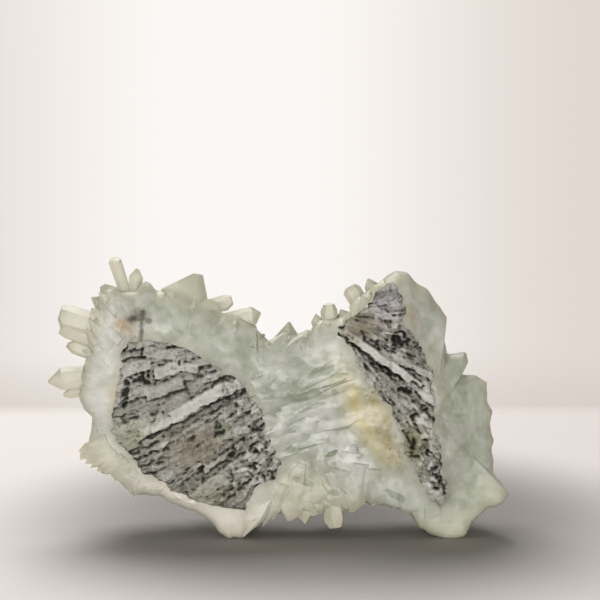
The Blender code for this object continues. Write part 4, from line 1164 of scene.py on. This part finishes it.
RIGHT_SLABS = [
    ((18.4, 61.6), (27.6, 59.2), 2.3, 0.6, 0.02), ((20.8, 58.3), (35.2, 48.3), 1.25, 1.5, 0.22),
    ((34.6, 48.9), (43.8, 40.4), 1.2, 1.6, 0.18), ((37.3, 45.3), (43.4, 41), 0.6, 2.2, 0.3),
    ((21.2, 55), (24.4, 45.6), 1.1, 0.7, 0.08), ((24, 46.4), (34.4, 32.2), 1.2, 0.9, 0.12),
    ((27.4, 55), (38.4, 51), 1.3, 0.4, 0), ((38.6, 37), (42.4, 30.6), 1.3, 0.8, 0.14),
    ((39.4, 24), (43.4, 15.6), 1, 0.7, 0.1),
]
ROCK_INSET = 0.2  # how far the rock's mean face lies behind the quartz round it
PROUD = 0.9  # height over which the rock's forms are flattened
WALL_STEPS = 4  # rows down each half of a pocket's wall
BACK_COLUMNS = 12


def finer_layers(angles, stands, reach, thickness, seed):
    """Each layer of a fan split into strata of about a thickness, with small steps between them."""
    dice = np.random.default_rng(seed)
    edges, heights = [angles[0]], []
    for low, high, stand in zip(angles, angles[1:], stands):
        count = max(1, round(math.radians(high - low) * reach / thickness))
        cuts = (np.arange(1, count + 1) + np.append(dice.uniform(-0.25, 0.25, count - 1), 0.0)) / count
        edges += (low + (high - low) * cuts).tolist()
        heights += (stand + np.append(0.0, dice.uniform(-0.6, 0.5, count - 1))).tolist()
    return np.array(edges), np.array(heights)


def across_layers(x, z, centre, wrap):
    """Bearing in degrees and distance of each place from the centre of a fan."""
    radius = np.hypot(x - centre[0], z - centre[1])
    bearing = (np.degrees(np.arctan2(z - centre[1], x - centre[0])) - wrap) % 360 + wrap
    return bearing, radius


def split_along(radius, row, length, seed):
    """Cuts each stratum into blocks: the block's number, and the distance to its nearest end.

    Every cell of the length holds one cut, which is shifted from its middle at random.
    """
    along = radius / length + lattice(np.stack([row, row * 0 + 7], -1), seed)
    cell = np.floor(along)
    cuts = [cell + k + 0.5 + 0.38 * lattice(np.stack([cell + k, row], -1), seed + 1) for k in (-1, 0, 1)]
    gap = np.min([np.abs(along - cut) for cut in cuts], axis=0) * length
    return cell + (along > cuts[1]), gap


def grains(points, size, seed):
    """Rounded grains: distance to the middle of the grain, in grain sizes, and that grain's own number."""
    cell, offset = nearest_site(points / size, seed)
    return np.linalg.norm(offset, axis=-1), lattice(cell, seed + 2)


def oval(x, z, centre, wide, tall, tilt=0.0):
    """Distance from an oval's centre, which is 1 on its edge."""
    dx, dz = x - centre[0], z - centre[1]
    u = dx * math.cos(tilt) + dz * math.sin(tilt)
    v = dz * math.cos(tilt) - dx * math.sin(tilt)
    return np.hypot(u / wide, v / tall)


def bell(distance):
    return np.exp(-(distance**2))


def ridged(points, size, seed, octaves=4):
    """Sharp-crested noise: one less twice the noise's size, over octaves, each half as large as the last."""
    fade = 0.55
    layers = [(1 - 2 * np.abs(noise(points, size / 2**i, seed + i))) * fade**i for i in range(octaves)]
    return sum(layers) / sum(fade**i for i in range(octaves))


def chips(points, size, seed):
    """Angular chips: each cell round a scattered site has its own height and its own tilt."""
    warped = points / size + 0.22 * push(points, size, seed)
    cell, offset = nearest_site(warped, seed + 2)
    tilt = lattice(cell, seed + 3) * offset[..., 0] + lattice(cell, seed + 4) * offset[..., 1]
    return 0.5 * lattice(cell, seed + 2) + 0.9 * tilt


def slab_shape(x, z, low_end, high_end, half, seed):
    """How far inside a slab each place lies, and how far above its middle line. Its edges are chipped."""
    run = np.array(high_end) - np.array(low_end)
    length = np.hypot(*run)
    dx, dz = x - low_end[0], z - low_end[1]
    along = (dx * run[0] + dz * run[1]) / length
    over = (dz * run[0] - dx * run[1]) / length
    chipped = noises(np.stack([x, z], axis=-1), seed, (0.3, 2.2), (0.22, 0.9), (0.12, 0.45))
    return np.minimum(half - np.abs(over), np.minimum(along, length - along) * 1.4) + chipped, over


def blurred(values, reach):
    """A running mean over a square of cells, from the sums along each axis in turn."""
    for axis in (0, 1):
        padded = np.pad(values, [(reach + 1, reach) if a == axis else (0, 0) for a in (0, 1)], mode="edge")
        total = np.cumsum(padded, axis=axis)
        width = 2 * reach + 1
        values = (np.take(total, range(width, total.shape[axis]), axis)
                  - np.take(total, range(0, total.shape[axis] - width), axis)) / width
    return values


def rock_relief(x, z, fan_of, slabs, hollows, grainy):
    """How far the broken rock stands proud of its mean face, and its tone, with painted light and shade on
    it.

    Strata break into ledges that tip one way or the other, with open seams between some of them. Flat slabs
    lie on them, each with a gap round it. Then come grains, bites and hollows, and crags over everything.
    """
    seed = fan_of["seed"]
    here = np.stack([x, z], axis=-1)
    bearing, radius = across_layers(x, z, fan_of["centre"], fan_of["wrap"])
    middle = radius.mean()
    edges, heights = finer_layers(fan_of["angles"], fan_of["stands"], middle, fan_of["layer"], seed)
    wander = noises(here, seed + 1, (0.55, 8.0), (0.35, 2.6), (0.36, 1.1), (0.24, 0.5))
    warped = bearing + np.degrees(wander / radius)
    row = np.clip(np.searchsorted(edges, warped) - 1, 0, len(heights) - 1)
    over = np.clip((warped - edges[row]) / (edges[row + 1] - edges[row]), 0, 1)
    to_seam = np.abs(warped[..., None] - edges).min(axis=-1) * np.radians(radius)
    number, to_end = split_along(radius + 1.6 * noise(here, 2.6, seed + 5), row.astype(float), 7.0, seed + 6)
    block = np.stack([number, row], -1)
    shift, tip_over = lattice(block, seed + 7), lattice(block, seed + 8)
    height = heights[row] + 0.45 * shift + (0.3 + 0.7 * tip_over) * (over - 0.5)
    height = height - 0.4 * np.abs(2 * over - 1) ** 4
    calm = np.clip(sum(bell(oval(x, z, *where)) for where in fan_of["calm"]) * 1.2, 0, 1)
    calm = np.clip(calm + 0.5 * noise(here, 7.0, seed + 60), 0, 1)
    open_seam = np.clip(2.6 * layered_noise(here, 4.4, seed + 18, 3) - 0.1 - 0.7 * calm, 0, 1)
    height = height - 1.5 * open_seam * bell(to_seam / (0.1 + 0.22 * open_seam))
    height = height - 0.6 * np.clip(1.7 * noise(here, 4.0, seed + 19) - 0.4, 0, 1) * bell(to_end / 0.22)
    bites = np.clip(noise(here, 2.0, seed + 20) * 2.0 - 0.7, 0, 1) * np.exp(-to_seam / 0.9)
    height = height - 1.2 * bites
    tone = 0.5 + 0.08 * shift + 0.05 * (heights[row] - heights.mean())

    flat = np.zeros_like(height)
    for k, (low_end, high_end, half, rise, light) in enumerate(slabs):
        inside, across = slab_shape(x, z, low_end, high_end, half, seed + 50 + 3 * k)
        on = np.clip(inside / 0.3, 0, 1)
        flat = np.maximum(flat, on)
        height = height * (1 - on) + (rise + 0.16 * height - 0.12 * across) * on
        height = height - 0.7 * bell((inside + 0.3) / 0.26) * np.where(across < 0, 1.0, 0.25)
        tone = tone + on * light

    share = np.clip(sum(bell(oval(x, z, *where)) for where in grainy) * 1.3 - 0.1, 0, 1)
    jostled = here + 0.5 * push(here, 2.0, seed + 21)
    away, tint = grains(jostled, 2.0, seed + 23)
    finer, fine_tint = grains(jostled, 1.05, seed + 26)
    knobs = 1.7 * np.sqrt(np.maximum(0, 1 - (away / 0.7) ** 2)) - 0.9 + 0.6 * tint
    knobs = knobs + 0.6 * np.sqrt(np.maximum(0, 1 - (finer / 0.7) ** 2)) - 0.35
    height = height + share * knobs
    pushed_x = noises(here, seed + 32, (0.9, 2.6), (0.7, 1.1), start=x)
    pushed_z = noises(here, seed + 34, (0.9, 2.6), (0.7, 1.1), start=z)
    for centre, wide, tall, deep, tilt in hollows:
        inside = 1 - oval(pushed_x, pushed_z, centre, wide, tall, tilt)
        inside = inside + 0.4 * noise(here, 0.8, seed + 31)
        height = height - deep * np.clip(inside * 1.8, 0, 1)
    height = blurred(height, 1)

    along = np.stack([radius / 2.4, np.radians(bearing) * middle], axis=-1)
    crags = (1 - 0.6 * flat) * (chips(along, 1.9, seed + 70) + 0.5 * chips(along, 0.9, seed + 75))
    crags = crags + 0.26 * ridged(along, 2.2, seed + 9) + 0.2 * ridged(here, 1.3, seed + 13, 3)
    crags = crags + 0.35 * layered_noise(here, 3.4, seed + 16, 4)
    pits = np.clip(noise(here, 1.2, seed + 29) * 2.0 - 1.0, 0, 1)
    height = height + crags * (0.95 - 0.3 * share - 0.6 * calm) - 0.9 * pits * (1 - 0.7 * calm)
    # Painted light and shade: the tone rises on the crags and falls in the pits; the grains' tints are the
    # rock's own.
    tone = tone + 0.34 * share * tint + 0.18 * share * fine_tint + 0.16 * crags - 0.25 * pits
    height = np.minimum(height, PROUD) + 0.4 * np.maximum(height - PROUD, 0)
    return height, tone


def rock_mesh(name, outline, fan_of, slabs, hollows, grainy, rows, columns):
    """A closed piece of rock in level rows: each goes along the broken front, back along one side of the
    pocket, across the flat back and forwards along the other side."""
    right, left = contact(outline, fan_of["seed"])
    z = np.linspace(right[0, 1], right[-1, 1], rows)
    right_x, left_x = (np.interp(-z, -side[:, 1], side[:, 0]) for side in (right, left))
    left_x = np.minimum(left_x, right_x)
    x = np.linspace(left_x.min(), right_x.max(), columns)[None]
    x = np.clip(x, left_x[:, None], right_x[:, None])
    zz = np.repeat(z[:, None], columns, axis=1)
    height, tone = rock_relief(x, zz, fan_of, slabs, hollows, grainy)
    rim = reach_to(np.concatenate([right, left]), x, zz)
    here = np.stack([x, zz], axis=-1)
    gap = np.clip(-0.1 + 1.6 * noise(here, 5.0, fan_of["seed"] + 40), 0, 1.2)
    height = height - gap * np.exp(-rim / 0.7)
    front = surface_y(x.ravel(), zz.ravel()).reshape(x.shape) + ROCK_INSET - height
    # Painted shade and light: the tone darkens where the face lies below its blurred surroundings and
    # lightens where it stands above them, and the deepest cavities get a dark painted shade.
    cavity = 0.9 * (blurred(height, 4) - height) + 0.35 * (blurred(height, 16) - height)
    tone = tone - 0.22 * np.clip(cavity, -1, 1)
    hollow = np.clip((cavity - 0.44) / 0.46, 0, 1)
    frost = np.exp(-rim / 0.9) * np.clip(0.7 + 1.4 * noise(here, 3.0, fan_of["seed"] + 44), 0, 1)

    steps = np.linspace(0, 1, WALL_STEPS + 1)[1:]
    share = np.append(np.zeros(WALL_STEPS), steps)

    behind = np.repeat([ROCK_WAIST + (ROCK_BACK - ROCK_WAIST) * steps], rows, axis=0)

    def wall(edge_x, front_edge):
        ahead = front_edge[:, None] + (ROCK_WAIST - front_edge)[:, None] * steps
        level = np.concatenate([ahead, behind], axis=1)
        flat = tapered(np.stack([edge_x, z], axis=-1)[:, None], outline, share[None, :, None])
        return np.stack([flat[..., 0], level, flat[..., 1]], axis=-1)

    right_wall, left_wall = wall(right_x, front[:, -1]), wall(left_x, front[:, 0])
    over = np.linspace(0, 1, BACK_COLUMNS)[1:-1][None, :, None]
    back = right_wall[:, -1:] + (left_wall[:, -1:] - right_wall[:, -1:]) * over
    face = np.stack([x, front, zz], axis=-1)
    verts = np.concatenate([face, right_wall, back, left_wall[:, ::-1]], axis=1)
    hidden = np.full((rows, verts.shape[1] - columns), 0.5)
    values = {key: np.concatenate([sheet, hidden], axis=1)
              for key, sheet in (("tone", tone), ("hollow", hollow), ("frost", frost))}
    made = mesh_object("rock", verts.reshape(-1, 3), grid_faces(rows, verts.shape[1]), **values)
    mesh = made.data
    mesh.name = name
    bpy.data.objects.remove(made)
    settle(mesh, ROCK_EDGE)
    return mesh


ROCK_GREYS = [(0, 84, 82, 74), (0.3, 126, 124, 115), (0.55, 156, 154, 145), (0.8, 184, 183, 175),
              (1, 206, 205, 199)]  # place on the scale from dark to light, and the colour there


def rock_material(name, spots):
    """Matt grey rock: dull browns between pale ledges, dark in its cracks where shade is painted, with stains
    in a few places.
    """
    made, out, at = new_material(name)
    speck = at.noise(0.8, 4.0, 0.65)
    patch = at.noise(5.0, 4.0, 0.6, shift=0.4)
    light = at.stored("tone") + (speck - 0.5) * 0.6 + (patch - 0.5) * 0.5
    stops = [(place, srgb(*grey)) for place, *grey in ROCK_GREYS]
    colour = at.node("ShaderNodeValToRGB", dict(stops=stops), {0: light.clamped()})
    warp = (patch - 0.5) * 1.5
    for x, z, wide, tall, *tint, strength in spots:
        spot = at.spot((x, -12.0, z), (wide, 30.0, tall), warp)
        stained = at.node("ShaderNodeMix", dict(data_type="RGBA", blend_type="MULTIPLY"),
                          {0: 1.0, 6: colour, 7: srgb(*tint)}, 2)
        colour = mix(spot * strength, colour, stained)
    # The pale frost is the rock's own crust by the quartz; the dark in the deepest cavities is painted shade.
    colour = laid(colour, (at.stored("frost") * 0.75, 168, 166, 153),
                  (at.stored("hollow") * 0.88, 46, 44, 37))
    relief = speck * 0.7 + at.noise(2.2, 5.0, 0.65, shift=0.9) + at.noise(0.35, 3.0, 0.6, shift=1.1) * 0.4
    stone = at.node("ShaderNodeBsdfPrincipled", {}, {
        "Base Color": colour, "Roughness": 0.78 + patch * 0.2, "Normal": relief.bump(0.9, 0.35)})
    made.node_tree.links.new(stone.socket, out.inputs["Surface"])
    return made


# Where the rock is grainy, as centre (x, z), half-widths and tilt, and its stains, as the quartz's colours.
LEFT_GRAINS = [((-5, 30), 6.5, 15, 0.35), ((-9, 19), 8, 5, 0.3), ((-12, 44), 5, 3.5, -0.7)]
RIGHT_GRAINS = [((30, 67), 6, 7), ((40.5, 35), 5, 8), ((34, 57), 5, 4), ((43, 18), 4, 8)]
LEFT_SPOTS = [
    (-42, 31, 6, 5, 212, 222, 190, 0.7), (-15.8, 33, 2.6, 2.6, 186, 200, 168, 0.7),
    (-23, 28, 8, 6, 214, 198, 172, 0.7), (-18, 14, 9, 4, 226, 220, 190, 0.6),
]
RIGHT_SPOTS = [
    (30, 69, 6, 7, 205, 200, 214, 0.8), (22, 62, 7, 5, 222, 208, 184, 0.8),
    (36.5, 28.5, 4, 6, 222, 216, 160, 0.8),
]
# Each piece's node, stains and shape, with how many rows and columns its front has.
ROCKS = [
    ("host_rock_left", LEFT_SPOTS, LEFT_WINDOW, LEFT_FAN, LEFT_SLABS, LEFT_HOLLOWS, LEFT_GRAINS, 280, 250),
    ("host_rock_right", RIGHT_SPOTS, RIGHT_WINDOW, RIGHT_FAN, RIGHT_SLABS, RIGHT_HOLLOWS, RIGHT_GRAINS,
     420, 160),
]
for node, spots, *shape in ROCKS:
    stone = rock_material(node + "_stone", spots)
    piece_from(rock_mesh(node + "_broken", *shape), node, stone)

# ------------------------------------------------------------------------------
# The studio: a pale matt board with a shadow painted round the cluster, before a bright wall, soft lamps to
# the left, behind and low in front, and a long lens at a low height.
# ------------------------------------------------------------------------------

BOARD_SIDE = 0.8  # metres from the middle to the board's sides and front edge
BOARD_BACK = 0.262  # metres to its back edge, behind the cluster
BOARD_FADE = 0.03  # over which its back edge softens


def floor_material():
    """A pale board with a painted shadow round the cluster, whose back edge fades out into the wall."""
    made, out, at = new_material("pale_board")
    fibre = at.noise(1.6, 4.0, 0.6)
    cloudy = at.noise(160.0, 2.0, 0.5)
    # Painted shadow: the board's colour darkens towards a point near the cluster and pales outwards.
    away = at.vector("ADD", (-0.016, -0.022, 0.0)).vector("MULTIPLY", (1.0, 0.73, 0.0))
    away = away.vector("LENGTH", (0.0, 0.0, 0.0), output=1)
    colour = mix(away.between(0.004, 0.044), srgb(98, 95, 92), srgb(134, 131, 127))
    colour = laid(colour, (away.between(0.05, 0.121), 229, 224, 221),
                  (cloudy * 0.15 + fibre * 0.06, 190, 184, 180))
    board = at.node("ShaderNodeBsdfPrincipled", {}, {
        "Base Color": colour, "Roughness": 0.7 + fibre * 0.1, "Specular IOR Level": 0.3,
        "Normal": fibre.bump(0.08, 0.1)})
    nothing = at.node("ShaderNodeBsdfTransparent", {}, {})
    edge = at.node("ShaderNodeMixShader", {}, {
        0: at.part("Y").between(BOARD_BACK - BOARD_FADE, BOARD_BACK), 1: board, 2: nothing})
    made.node_tree.links.new(edge.socket, out.inputs["Surface"])
    return made


floor_mesh = bpy.data.meshes.new("studio_floor")
floor_mesh.from_pydata(
    [(-BOARD_SIDE, -BOARD_SIDE, 0), (BOARD_SIDE, -BOARD_SIDE, 0), (BOARD_SIDE, BOARD_BACK, 0),
     (-BOARD_SIDE, BOARD_BACK, 0)], [], [[0, 1, 2, 3]])
floor_mesh.materials.append(floor_material())
floor = placed("studio_floor", floor_mesh)


def lamp(name, place, aim, wide, tall, power, colour):
    """A soft lamp at a place in metres, turned towards its aim."""
    light = bpy.data.lights.new(name, "AREA")
    light.shape, light.size, light.size_y, light.energy, light.color = "RECTANGLE", wide, tall, power, colour
    made = placed(name, light)
    made.location = place
    made.rotation_euler = (Vector(aim) - Vector(place)).to_track_quat("-Z", "Y").to_euler()


lamp("key_lamp", (-0.5, -0.5, 0.5), (0, 0, 0.03), 0.35, 0.35, 0.9, (1.0, 0.985, 0.96))
lamp("top_lamp", (-0.1, 0.3, 0.62), (0, 0, 0.03), 0.42, 0.42, 4.4, (1.0, 0.99, 0.98))
lamp("low_fill", (-0.05, -0.9, 0.13), (0, 0, 0.03), 0.9, 0.24, 5.6, (1.0, 1.0, 1.0))

WALL_LIGHT = 0.97  # brightness of the pale wall all round
WALL_FILL = 0.15  # what of it reaches matt surfaces, as the wall stands far off
world = bpy.data.worlds.new("studio_air")
world.use_nodes = True
air = world.node_tree.nodes["Background"]
heading = Wire(world.node_tree, world.node_tree.nodes.new("ShaderNodeTexCoord").outputs["Generated"])
sideways = (heading.part("X") + 0.02).maths("ABSOLUTE")
wall = mix(sideways.between(0.02, 0.17), srgb(255, 251, 248), srgb(228, 219, 212))
wall = mix((1.0 - heading.part("Z").between(-0.142, -0.108)) * 0.6, wall, srgb(214, 204, 196))
world.node_tree.links.new(wall.socket, air.inputs["Color"])
rays = Wire(world.node_tree, world.node_tree.nodes.new("ShaderNodeLightPath").outputs["Is Diffuse Ray"])
world.node_tree.links.new((WALL_LIGHT - rays * (WALL_LIGHT - WALL_FILL)).socket, air.inputs["Strength"])
bpy.context.scene.world = world

# The view: 8 degrees above level, aimed a little above and right of the middle of the cluster.
VIEW_AIM = np.array([0.0, -0.012, 0.038])
VIEW_DISTANCE = 0.6
VIEW_HEIGHT = math.radians(8.0)
VIEW_TURN = (math.radians(90 - 5.09), 0.0, math.radians(-0.546))

lens = bpy.data.cameras.new("view")
lens.lens, lens.sensor_width = 126.0, 36.0
camera = placed("view", lens)
camera.location = VIEW_AIM + VIEW_DISTANCE * np.array([0.0, -math.cos(VIEW_HEIGHT), math.sin(VIEW_HEIGHT)])
camera.rotation_euler = VIEW_TURN
bpy.context.scene.camera = camera
bpy.context.scene.view_settings.view_transform = "Standard"
